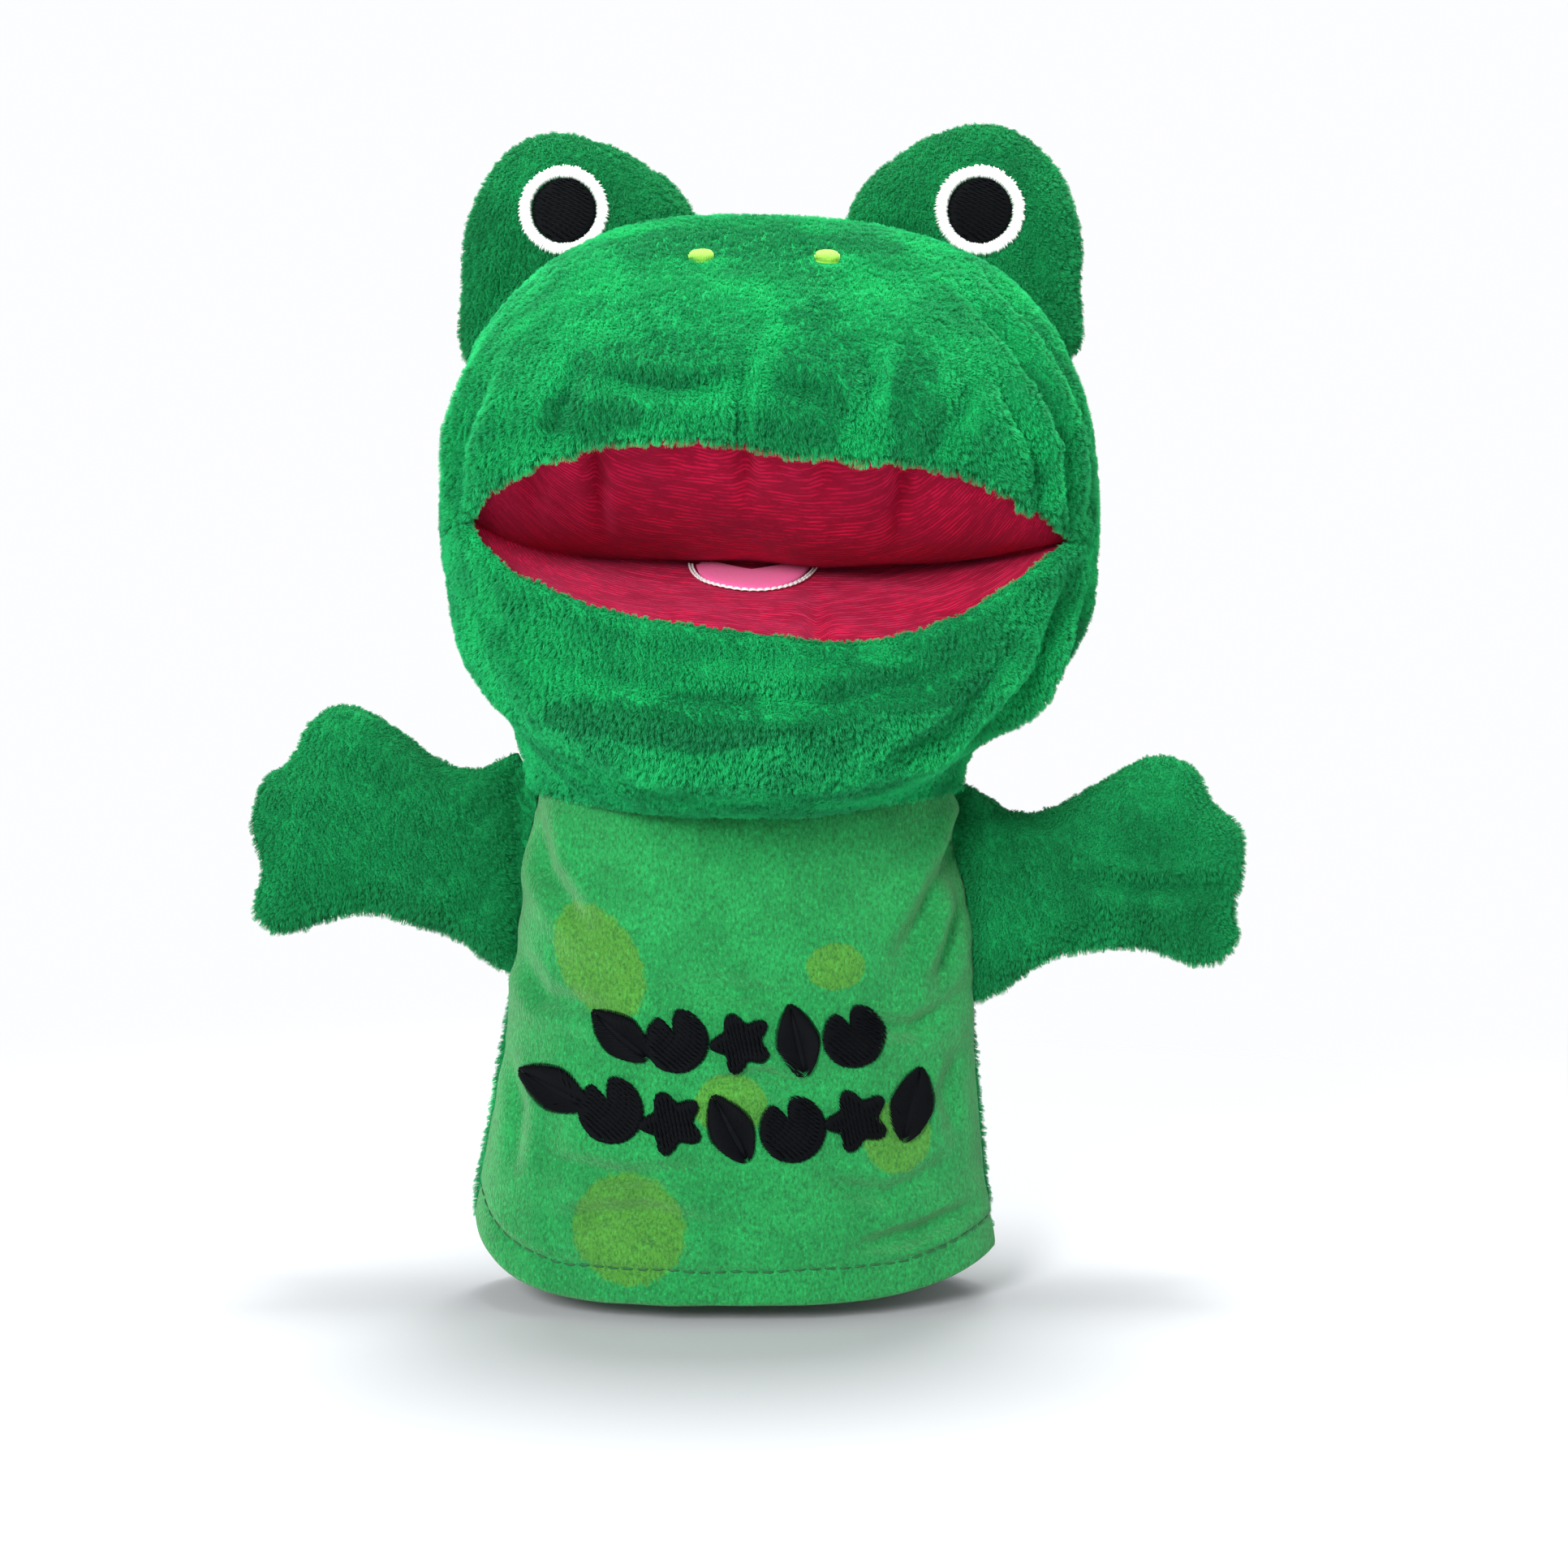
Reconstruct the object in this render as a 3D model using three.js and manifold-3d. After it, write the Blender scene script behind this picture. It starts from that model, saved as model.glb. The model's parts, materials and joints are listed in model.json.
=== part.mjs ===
// A plush frog hand puppet: a sleeve that a hand goes up, a hollow head with an opening mouth,
// two stuffed eyes and two stuffed arms. Millimetres, +Z up, the puppet faces -Y.
// The origin is the middle of the hand opening, in the plane of the hem.
// Left and right are those of a person facing the puppet.
import * as THREE from "three";
import Module from "manifold-3d";
import { mergeVertices } from "three/addons/utils/BufferGeometryUtils.js";

const wasm = await Module();
wasm.setup();

// Driving dimensions.
const GAP = 0.35; // left between pieces that are sewn or glued together
const PLUSH = 2.2; // thickness of the long-pile plush
const VELOUR = 1.6; // thickness of the short-pile belly cloth
const SLEEVE = {
  halfWidthTop: 43,
  flare: 10.6, // how much wider the hem is than the chest, each side
  halfDepthTop: 23,
  depthFlare: 4,
  height: 104, // at the side seams, where the arms are sewn in
  neckline: 72, // where the stiff part ends at the middle of the front and back
  lean: 0.02, // sideways drift per millimetre of height
};
const HINGE = { x: 7.5, y: -6, z: 149 }; // middle of the fold at the back of the mouth
const HEAD = {
  halfWidth: 66,
  turn: 0.075, // sideways drift of the muzzle per millimetre of depth
  pole: 1.2, // radius left open where the panels meet at each side of the head
};
const UPPER_LIP = 15.3; // degrees above the horizontal, seen from the mouth fold
const LOWER_LIP = -14.9;
const CROWN_SEAM = 96;
const NAPE = 214;
const THROAT = -45;
const CORNER = 0.72; // where the stiff part of the jaw ends, as a share of the half width
const SIDE_END = 0.985; // where the cheeks and the neck end at each side of the head, as the same share
const SEAM = 0.6; // left open where two cloths of the head or of the neck meet

// Distance of the head's skin from the mouth fold, by angle from the front, over the crown, to the nape.
const HEAD_PROFILE = [
  [-66, 50.5], [-51, 58], [-38, 65], [-26, 68], [LOWER_LIP, 64.2], [0, 66.3],
  [UPPER_LIP, 68.4], [22, 73.5], [30, 75.5], [38, 74.8], [46, 73], [55, 71.2], [65, 69.8],
  [75, 68.6], [90, 66.5], [109, 67.7], [124.7, 63.2], [143.6, 52.2], [176, 43.1],
  [208.8, 45.7], [229.4, 55.3],
];
// How square the head is from side to side, by the same angle: the exponent of a superellipse.
const HEAD_FULLNESS = [[-66, 2], [-15, 2.3], [20, 2.7], [96, 2.75], [150, 2.7], [214, 2.4]];

const radians = THREE.MathUtils.degToRad;
const degrees = THREE.MathUtils.radToDeg;
const { smoothstep, lerp } = THREE.MathUtils;

// A smooth function through the points of a table, by cubic Hermite pieces.
function through(table) {
  const slope = (i) => {
    const a = table[Math.max(i - 1, 0)];
    const b = table[Math.min(i + 1, table.length - 1)];
    return (b[1] - a[1]) / (b[0] - a[0]);
  };
  return (x) => {
    let i = table.findIndex((p) => p[0] > x) - 1;
    if (i < 0) i = x < table[0][0] ? 0 : table.length - 2;
    const [x0, y0] = table[i];
    const [x1, y1] = table[i + 1];
    const h = x1 - x0;
    const t = THREE.MathUtils.clamp((x - x0) / h, 0, 1);
    const s = 1 - t;
    return (
      y0 * s * s * (1 + 2 * t) + slope(i) * h * t * s * s +
      y1 * t * t * (3 - 2 * t) - slope(i + 1) * h * t * t * s
    );
  };
}

const headRadius = through(HEAD_PROFILE);
const headFullness = through(HEAD_FULLNESS);

// How the head's radius falls off from its middle towards each side, at a share of the half width.
function sideFall(angle, share) {
  const n = headFullness(angle);
  return (1 - Math.abs(share) ** n) ** (1 / n);
}

// A point of the head's skin: an angle about the mouth fold, a share of the half width from -1 to 1,
// and a distance out from the skin.
function headPoint(angle, share, out = 0) {
  const r = Math.max((headRadius(angle) + out) * sideFall(angle, share), HEAD.pole);
  const dy = -r * Math.cos(radians(angle));
  return new THREE.Vector3(
    HINGE.x + (HEAD.halfWidth + out) * share + HEAD.turn * dy,
    HINGE.y + dy,
    HINGE.z + r * Math.sin(radians(angle)),
  );
}

// A point of a flat plate inside the mouth, which fans out from the fold at the given angle:
// x across from the middle, reach forward from the fold, and a height above the plate's plane.
function platePoint(angle, x, reach, height) {
  const d = radians(angle);
  const dy = height * Math.sin(d) - reach * Math.cos(d);
  return new THREE.Vector3(
    HINGE.x + x - HEAD.turn * reach,
    HINGE.y + dy,
    HINGE.z + reach * Math.sin(d) + height * Math.cos(d),
  );
}

// Half width, half depth and middle of the sleeve at a height.
function sleeveAt(z) {
  const low = Math.max(1 - z / SLEEVE.height, 0);
  return {
    w: SLEEVE.halfWidthTop + SLEEVE.flare * low,
    d: SLEEVE.halfDepthTop + SLEEVE.depthFlare * low,
    x: SLEEVE.lean * z,
  };
}

function sleevePoint(turn, z, out = 0) {
  const s = sleeveAt(z);
  return new THREE.Vector3(s.x + (s.w + out) * Math.cos(turn), (s.d + out) * Math.sin(turn), z);
}

const necklineAt = (turn) =>
  SLEEVE.neckline + (SLEEVE.height - SLEEVE.neckline) * Math.abs(Math.cos(turn)) ** 6;

// Closed body from vertices and triangles, with its faces turned out.
function bodyFrom(points, triangles) {
  const area = (t) => {
    const [a, b, c] = t.map((i) => points[i]);
    return b.clone().sub(a).cross(c.clone().sub(a)).length();
  };
  const kept = triangles.filter((t) => area(t) > 1e-7);
  const volume = kept.reduce(
    (sum, [a, b, c]) => sum + points[a].dot(points[b].clone().cross(points[c])), 0,
  );
  if (volume < 0) kept.forEach((t) => t.reverse());
  const geometry = new THREE.BufferGeometry().setFromPoints(points);
  geometry.setIndex(kept.flat());
  return mergeVertices(geometry, 1e-4);
}

// A sheet with thickness: outer(u, v) and inner(u, v) are its two faces, for u and v from 0 to 1.
// A ring is joined to itself along u.
function sheet(outer, inner, nu, nv, ring = false) {
  const columns = ring ? nu : nu + 1;
  const points = [];
  for (const face of [outer, inner])
    for (let i = 0; i < columns; i++)
      for (let j = 0; j <= nv; j++) points.push(face(i / nu, j / nv));
  const at = (side, i, j) => side * columns * (nv + 1) + (i % columns) * (nv + 1) + j;
  const triangles = [];
  const quad = (a, b, c, d) => triangles.push([a, b, c], [a, c, d]);
  for (let i = 0; i < nu; i++)
    for (let j = 0; j < nv; j++) {
      quad(at(0, i, j), at(0, i + 1, j), at(0, i + 1, j + 1), at(0, i, j + 1));
      quad(at(1, i, j), at(1, i, j + 1), at(1, i + 1, j + 1), at(1, i + 1, j));
    }
  for (let i = 0; i < nu; i++) {
    quad(at(0, i, 0), at(1, i, 0), at(1, i + 1, 0), at(0, i + 1, 0));
    quad(at(0, i, nv), at(0, i + 1, nv), at(1, i + 1, nv), at(1, i, nv));
  }
  if (!ring)
    for (let j = 0; j < nv; j++) {
      quad(at(0, 0, j), at(0, 0, j + 1), at(1, 0, j + 1), at(1, 0, j));
      quad(at(0, nu, j), at(1, nu, j), at(1, nu, j + 1), at(0, nu, j + 1));
    }
  return bodyFrom(points, triangles);
}

// A round body whose two faces are top(turn, s) and bottom(turn, s); s runs from the middle to the rim.
function disc(top, bottom, sides, rings) {
  const points = [];
  for (const face of [top, bottom]) {
    points.push(face(0, 0));
    for (let k = 1; k <= rings; k++)
      for (let i = 0; i < sides; i++) points.push(face((2 * Math.PI * i) / sides, k / rings));
  }
  const per = 1 + rings * sides;
  const at = (side, k, i) => side * per + (k === 0 ? 0 : 1 + (k - 1) * sides + (i % sides));
  const triangles = [];
  for (let i = 0; i < sides; i++) {
    triangles.push([at(0, 0, 0), at(0, 1, i), at(0, 1, i + 1)]);
    triangles.push([at(1, 0, 0), at(1, 1, i + 1), at(1, 1, i)]);
    for (let k = 1; k < rings; k++) {
      triangles.push([at(0, k, i), at(0, k + 1, i), at(0, k + 1, i + 1)]);
      triangles.push([at(0, k, i), at(0, k + 1, i + 1), at(0, k, i + 1)]);
      triangles.push([at(1, k, i), at(1, k + 1, i + 1), at(1, k + 1, i)]);
      triangles.push([at(1, k, i), at(1, k, i + 1), at(1, k + 1, i + 1)]);
    }
    triangles.push([at(0, rings, i), at(1, rings, i), at(1, rings, i + 1)]);
    triangles.push([at(0, rings, i), at(1, rings, i + 1), at(0, rings, i + 1)]);
  }
  return bodyFrom(points, triangles);
}

// The solid of a closed geometry, and back again.
function solid(geometry) {
  const positions = new THREE.BufferGeometry();
  positions.setAttribute("position", geometry.getAttribute("position"));
  positions.setIndex(geometry.index);
  const merged = mergeVertices(positions, 1e-4);
  return new wasm.Manifold(new wasm.Mesh({
    numProp: 3,
    vertProperties: merged.attributes.position.array,
    triVerts: new Uint32Array(merged.index.array),
  }));
}

function geometryOf(manifold) {
  const m = manifold.getMesh();
  const geometry = new THREE.BufferGeometry();
  geometry.setAttribute("position", new THREE.BufferAttribute(m.vertProperties.slice(), 3));
  geometry.setIndex(new THREE.BufferAttribute(m.triVerts.slice(), 1));
  return geometry;
}

const cloth = (color, roughness = 0.95) =>
  new THREE.MeshStandardMaterial({ color, roughness, metalness: 0 });
const MATERIALS = {
  plush: cloth(0x149a4a),
  belly: cloth(0x2ba552),
  mouth: cloth(0xa8163c),
  tongue: cloth(0xe5407f, 0.9),
  board: cloth(0xe6e2d8, 0.8),
  stuffing: cloth(0xf2f2ee),
  whiteThread: cloth(0xf4f4ef, 0.7),
  blackThread: cloth(0x0b0f14, 0.7),
  limeThread: cloth(0x7cc52f, 0.7),
  greenThread: cloth(0x0d6b33, 0.7),
};

const puppet = new THREE.Group();

function add(name, geometry, material) {
  const mesh = new THREE.Mesh(geometry, material);
  mesh.name = name;
  puppet.add(mesh);
}

// Spreads u evenly from 0 to 1 into shares from -1 to 1 that crowd towards the sides of the head.
const acrossHead = (u) => Math.sin((u - 0.5) * Math.PI);

// The edge of the face panel: level along the lip, then down to the side seam past the mouth's corner.
const faceEdge = (share) => UPPER_LIP - 17 * smoothstep(Math.abs(share), CORNER + 0.03, 0.96);

// A panel of the head's skin between two angles, which may depend on the share.
function skin(shareAt, from, to, nu, nv, thick = PLUSH) {
  const face = (out) => (u, v) => {
    const share = shareAt(u);
    return headPoint(lerp(from(share), to(share), v), share, out);
  };
  return sheet(face(0), face(-thick), nu, nv);
}

function headPanels() {
  add("face_panel", skin(acrossHead, faceEdge, () => CROWN_SEAM, 18, 8), MATERIALS.plush);
  const crown = CROWN_SEAM + degrees(SEAM / headRadius(CROWN_SEAM));
  add("head_back_panel", skin(acrossHead, () => crown, () => NAPE, 16, 8), MATERIALS.plush);
}

// The jaw's plush: a stiff middle, and a cheek on each side that folds as the mouth closes.
function jawPanels() {
  const middle = (u) => lerp(-CORNER, CORNER, u);
  add("chin_panel", skin(middle, () => THROAT, () => LOWER_LIP, 14, 5), MATERIALS.plush);
  for (const [name, side] of [["left", -1], ["right", 1]]) {
    const cheek = (u) => side * lerp(CORNER + SEAM / HEAD.halfWidth, SIDE_END, u);
    const top = (share) => faceEdge(share) - degrees(SEAM / (headRadius(0) * sideFall(0, CORNER)));
    add(`${name}_cheek_fold`, skin(cheek, () => THROAT, top, 5, 6), MATERIALS.plush);
  }
}

// A plate of the mouth from near the fold to just inside the skin.
function plate(angle, low, high, { inset, fold, side }) {
  const face = (height) => (u, v) => {
    const share = lerp(-side, side, u);
    const far = (headRadius(angle) - inset) * sideFall(angle, share);
    return platePoint(angle, (HEAD.halfWidth - inset) * share, lerp(fold, far, v), height);
  };
  return sheet(face(high), face(low), 12, 3);
}

function mouth() {
  const lining = { inset: PLUSH + 0.8, fold: 3 };
  const board = { inset: PLUSH + 5, fold: 6, side: 0.7 };
  add("upper_mouth_lining", plate(UPPER_LIP, 0.3, 1.7, { ...lining, side: 0.9 }), MATERIALS.mouth);
  add("upper_mouth_board", plate(UPPER_LIP, 2.1, 3.6, board), MATERIALS.board);
  add("lower_mouth_lining", plate(LOWER_LIP, -3.1, -1.7, { ...lining, side: CORNER }), MATERIALS.mouth);
  add("lower_mouth_board", plate(LOWER_LIP, -5, -3.5, board), MATERIALS.board);
}

// The tongue lies on the lower lining with its root at the fold and is sewn down round its edge.
const TONGUE = { halfWidth: 13, length: 18, root: 5, stitch: 1.2, thick: 0.85, top: -0.5 };
function tongue() {
  const rim = (turn, grow) => ({
    x: (TONGUE.halfWidth + grow) * Math.cos(turn),
    reach: TONGUE.root + (TONGUE.length + grow) * Math.max(Math.sin(turn), 0),
  });
  const blade = (height) => (turn, s) => {
    const edge = rim(turn, 0);
    const middle = TONGUE.root + TONGUE.length * 0.35;
    return platePoint(LOWER_LIP, s * edge.x, lerp(middle, edge.reach, s), height);
  };
  const bottom = TONGUE.top - TONGUE.thick;
  add("tongue", disc(blade(TONGUE.top), blade(bottom), 24, 1), MATERIALS.tongue);
  const stitch = (height) => (u, v) => {
    const edge = rim(u * Math.PI, GAP + TONGUE.stitch * v);
    return platePoint(LOWER_LIP, edge.x, edge.reach, height);
  };
  add("tongue_stitching", sheet(stitch(TONGUE.top), stitch(bottom), 16, 1), MATERIALS.whiteThread);
}

// Everything below is placed by its outline as seen from the front: points [x, z].
const outlineCurve = (points) =>
  new THREE.CatmullRomCurve3(points.map(([x, z]) => new THREE.Vector3(x, 0, z)), true, "centripetal");

// The outline's reach from a centre, in each direction.
function reachFrom(points, centre) {
  const polar = outlineCurve(points).getPoints(12 * points.length).map((p) => ({
    turn: Math.atan2(p.z - centre.z, p.x - centre.x),
    far: Math.hypot(p.x - centre.x, p.z - centre.z),
  }));
  return (turn) => {
    const away = (p) => Math.abs(Math.atan2(Math.sin(p.turn - turn), Math.cos(p.turn - turn)));
    return polar.reduce((best, p) => (away(p) < away(best) ? p : best)).far;
  };
}

// A padded shape sewn from two panels: front panel, back panel and the filling between them.
// depth(x, z, s) is its half thickness, s going from 0 at the centre to 1 at the seam.
const FILLING = { margin: 4.5, clear: 1.8 };
function padded(name, points, centre, depth, cut = (body) => body) {
  const reach = reachFrom(points, centre);
  const face = (sign, margin, thinner, least) => (turn, s) => {
    const far = (reach(turn) - margin) * s;
    const x = centre.x + far * Math.cos(turn);
    const z = centre.z + far * Math.sin(turn);
    const half = Math.max(depth(x, z, far / reach(turn)) - thinner, least);
    return new THREE.Vector3(x, centre.y + sign * (s < 1 ? half : Math.min(least, 0.2)), z);
  };
  for (const [side, sign] of [["front", -1], ["back", 1]]) {
    const shell = disc(face(sign, 0, 0, 0.2), face(sign, PLUSH, PLUSH, 0.5), 30, 4);
    add(`${name}_${side}`, cut(shell), MATERIALS.plush);
  }
  const fill = (sign) => face(sign, FILLING.margin, PLUSH + FILLING.clear, 0.1);
  add(`${name}_stuffing`, cut(disc(fill(-1), fill(1), 24, 3)), MATERIALS.stuffing);
}

const EYE = { white: 8.8, pupil: 6.2, x: 41, z: 218 };
const LOBE = { halfDepth: 12, y: 4, z: 212 };

// The eye lobes stand on the crown seam; each holds an embroidered eye on its front.
function eyes() {
  const lobe = [
    [61.5, 189], [63, 203], [62.5, 217], [57, 229], [48, 234.7], [36, 234.6],
    [24, 229.5], [16, 221.5], [15, 211], [30, 198], [46, 190],
  ];
  const keepOut = solid(sheet(
    (u, v) => headPoint(lerp(20, 170, v), acrossHead(u), 2 * GAP),
    (u, v) => headPoint(lerp(20, 170, v), acrossHead(u), -20),
    24, 16,
  ));
  const clear = (geometry) => {
    const parts = solid(geometry).subtract(keepOut).decompose();
    parts.sort((a, b) => b.volume() - a.volume());
    return geometryOf(parts[0]);
  };
  for (const [side, sign] of [["left", -1], ["right", 1]]) {
    const centre = new THREE.Vector3(HINGE.x + sign * EYE.x, LOBE.y, LOBE.z);
    const points = lobe.map(([x, z]) => [HINGE.x + sign * x, z]);
    if (sign < 0) points.reverse();
    const depth = (x, z, s) => LOBE.halfDepth * Math.sqrt(Math.max(1 - s ** 2.4, 0)) + 0.2;
    padded(`${side}_eye_lobe`, points, centre, depth, clear);

    const reach = reachFrom(points, centre);
    const onLobe = (x, z, out) => {
      const turn = Math.atan2(z - centre.z, x - centre.x);
      const s = Math.hypot(x - centre.x, z - centre.z) / reach(turn);
      return new THREE.Vector3(x, centre.y - depth(x, z, s) - out, z);
    };
    const eyeX = HINGE.x + sign * EYE.x;
    const at = (radius, turn, out) =>
      onLobe(eyeX + radius * Math.cos(turn), EYE.z + radius * Math.sin(turn), out);
    const white = (out) => (u, v) => at(lerp(EYE.pupil + GAP, EYE.white, v), u * 2 * Math.PI, out);
    add(`${side}_eye_white`, sheet(white(1.5), white(0.6), 24, 1, true), MATERIALS.whiteThread);
    const pupil = (out) => (turn, s) => at(EYE.pupil * s, turn, out);
    add(`${side}_pupil`, disc(pupil(1.5), pupil(0.6), 24, 1), MATERIALS.blackThread);
  }
}

function nostrils() {
  const NOSTRIL = { angle: 52, spread: 11.6, halfWidth: 2.4, halfHeight: 2.2 };
  for (const [side, sign] of [["left", -1], ["right", 1]]) {
    const face = (out) => (turn, s) => {
      const share = (sign * NOSTRIL.spread + NOSTRIL.halfWidth * s * Math.cos(turn)) / HEAD.halfWidth;
      const rise = degrees((NOSTRIL.halfHeight * s * Math.sin(turn)) / headRadius(NOSTRIL.angle));
      return headPoint(NOSTRIL.angle + rise, share, out);
    };
    add(`${side}_nostril`, disc(face(1.2), face(0.45), 14, 1), MATERIALS.limeThread);
  }
}

// The sleeve: a velour belly, a plush back, the hem turned up inside them and its line of stitches.
const HEM = { height: 8, thick: 1.8, stitch: 0.7 };
const SIDE_SLIT = 0.011; // radians left open at each side seam
function sleeve() {
  const wall = (start, thick) => {
    const face = (out) => (u, v) => {
      const turn = start + SIDE_SLIT + u * (Math.PI - 2 * SIDE_SLIT);
      return sleevePoint(turn, v * necklineAt(turn), out);
    };
    return sheet(face(0), face(-thick), 18, 7);
  };
  add("belly_panel", wall(Math.PI, VELOUR), MATERIALS.belly);
  add("back_panel", wall(0, PLUSH), MATERIALS.plush);
  const ring = (low, high, out) => (u, v) => sleevePoint(u * 2 * Math.PI, lerp(low, high, v), out);
  const inside = -PLUSH - GAP;
  add("hem_fold",
    sheet(ring(0, HEM.height, inside), ring(0, HEM.height, inside - HEM.thick), 36, 1, true), MATERIALS.belly);
  const stitch = (out) => ring(HEM.height, HEM.height + HEM.stitch, out);
  add("hem_stitching", sheet(stitch(0.9), stitch(0.3), 36, 1, true), MATERIALS.greenThread);
}

// The soft neck: the tops of the belly cloth and of the back, which bend as the head nods.
function neck() {
  const below = (angle) => degrees(2 * SEAM / headRadius(angle));
  const strip = (start, headAngle, thick) => {
    const face = (out) => (u, v) => {
      const turn = start + SIDE_SLIT + u * (Math.PI - 2 * SIDE_SLIT);
      const low = sleevePoint(turn, necklineAt(turn) + SEAM, out);
      return low.lerp(headPoint(headAngle, SIDE_END * Math.cos(turn), out), v);
    };
    return sheet(face(0), face(-thick), 18, 3);
  };
  add("throat_fold", strip(Math.PI, THROAT - below(THROAT), VELOUR), MATERIALS.belly);
  add("nape_fold", strip(0, NAPE + below(NAPE), PLUSH), MATERIALS.plush);
}

// A point on the front of the sleeve above a given x and z.
function bellyPoint(x, z, out) {
  const s = sleeveAt(z);
  const share = (x - s.x) / s.w;
  return new THREE.Vector3(x, -(s.d + out) * Math.sqrt(1 - share * share), z);
}

// Embroidered water plants in two bowed rows across the belly.
function embroidery() {
  const pad = (size) => (t) => size * (1 - 0.5 * Math.exp(-(((t - 1.2) / 0.22) ** 2)));
  const flower = (size) => (t) => size * (0.82 + 0.18 * Math.cos(5 * t));
  const leaf = (size, tilt) => (t) => {
    const long = Math.abs(Math.cos(t - tilt)) / size;
    const wide = Math.abs(Math.sin(t - tilt)) / (size * 0.5);
    return (long ** 1.5 + wide ** 1.5) ** (-1 / 1.5);
  };
  const rows = [
    { name: "upper", xs: [-22, -11, 1, 12.5, 23.5], z: 55.5, slope: 0, bow: 0.0015, size: 6 },
    { name: "lower", xs: [-35.6, -24, -12.5, -0.5, 11.5, 23.5, 35], z: 38.5, slope: -0.04, bow: 0.004, size: 6.3 },
  ];
  const kinds = [
    (size, x) => leaf(size * 1.15, 1.1 + x * 0.02),
    (size) => pad(size),
    (size) => flower(size),
  ];
  for (const row of rows)
    row.xs.forEach((x, i) => {
      const outline = kinds[i % kinds.length](row.size, x);
      const z = row.z + row.slope * x + row.bow * x * x;
      const face = (out) => (turn, s) =>
        bellyPoint(x + s * outline(turn) * Math.cos(turn), z + s * outline(turn) * Math.sin(turn), out);
      add(`${row.name}_motif_${i + 1}`, disc(face(1.2), face(0.4), 20, 1), MATERIALS.blackThread);
    });
}

// The arms end in three blunt fingers and are sewn flat into the side seams.
const ARM = { halfDepth: 8.5, ramp: 26, seamGap: 1.9 };
function arms() {
  const beside = (sign, z) => [sleeveAt(z).x + sign * (sleeveAt(z).w + ARM.seamGap), z];
  const left = [
    beside(-1, 104), [-57, 111], [-70, 117.5], [-79, 121], [-86.5, 117.5], [-90, 110.5],
    [-96.5, 104], [-98, 95], [-96.6, 87], [-98.3, 79], [-94.5, 73.2], [-83, 74],
    [-73, 74.5], [-60, 70.5], beside(-1, 64), beside(-1, 84),
  ];
  const right = [
    beside(1, 99), [63, 101.9], [74.7, 107.1], [84.5, 110.8], [93.5, 109.3], [97, 102],
    [103, 95.5], [103.6, 86], [101.8, 79], [102.5, 71.5], [97.5, 66.2], [82, 67.6],
    [66.5, 66], [57, 61], beside(1, 58), beside(1, 78),
  ];
  const make = (name, points, centre, seamX) => {
    const depth = (x, z, s) => {
      const ramp = smoothstep(Math.abs(x - seamX), -2, ARM.ramp);
      return PLUSH + (ARM.halfDepth - PLUSH) * ramp * Math.sqrt(Math.max(1 - s ** 3, 0));
    };
    padded(name, points, centre, depth);
  };
  make("left_arm", left, new THREE.Vector3(-74, 0, 94), left[0][0]);
  make("right_arm", right, new THREE.Vector3(78, 0, 86), right[0][0]);
}

headPanels();
jawPanels();
mouth();
tongue();
eyes();
nostrils();
sleeve();
neck();
embroidery();
arms();

export default puppet;
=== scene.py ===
"""A plush frog hand puppet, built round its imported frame: the cloth, the embroidery and the stuffing.

Shapes are worked out in millimetres in the frame's own axes (+Z up, the puppet faces -Y) and turned
into metres when a mesh is made. Left and right are those of a person facing the puppet.
"""

import json
import math

import bpy
import numpy as np
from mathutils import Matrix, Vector, noise
from mathutils.bvhtree import BVHTree


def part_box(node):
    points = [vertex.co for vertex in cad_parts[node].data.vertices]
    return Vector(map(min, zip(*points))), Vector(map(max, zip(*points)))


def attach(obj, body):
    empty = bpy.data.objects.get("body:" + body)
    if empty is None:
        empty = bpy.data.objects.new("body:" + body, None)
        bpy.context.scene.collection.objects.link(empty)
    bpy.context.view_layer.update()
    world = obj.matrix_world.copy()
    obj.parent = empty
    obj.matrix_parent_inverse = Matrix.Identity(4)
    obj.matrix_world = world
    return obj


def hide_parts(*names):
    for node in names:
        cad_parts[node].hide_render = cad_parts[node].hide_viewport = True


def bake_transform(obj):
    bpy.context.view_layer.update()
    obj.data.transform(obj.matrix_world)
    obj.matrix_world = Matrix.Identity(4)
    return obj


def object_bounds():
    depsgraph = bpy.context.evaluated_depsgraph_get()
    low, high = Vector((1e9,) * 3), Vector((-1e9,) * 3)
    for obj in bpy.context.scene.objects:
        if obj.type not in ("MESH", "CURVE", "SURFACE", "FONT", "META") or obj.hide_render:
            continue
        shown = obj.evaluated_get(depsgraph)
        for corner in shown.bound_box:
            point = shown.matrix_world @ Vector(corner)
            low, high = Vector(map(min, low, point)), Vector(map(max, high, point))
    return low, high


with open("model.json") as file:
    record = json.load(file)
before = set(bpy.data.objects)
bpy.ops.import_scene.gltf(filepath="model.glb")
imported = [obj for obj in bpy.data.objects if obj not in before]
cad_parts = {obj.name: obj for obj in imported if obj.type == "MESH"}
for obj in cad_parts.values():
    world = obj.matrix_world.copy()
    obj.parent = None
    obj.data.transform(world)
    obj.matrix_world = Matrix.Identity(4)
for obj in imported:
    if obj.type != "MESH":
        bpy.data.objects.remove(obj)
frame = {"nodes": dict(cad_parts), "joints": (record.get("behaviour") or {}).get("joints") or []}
cad_low, cad_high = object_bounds()
MM = 0.001
SIDES = {"left": -1, "right": 1}


# ---------------------------------------------------------------- places taken from the frame


def box_mm(node):
    low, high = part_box(node)
    return np.array(low) / MM, np.array(high) / MM


def centre_mm(node):
    low, high = box_mm(node)
    return (low + high) / 2


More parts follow.
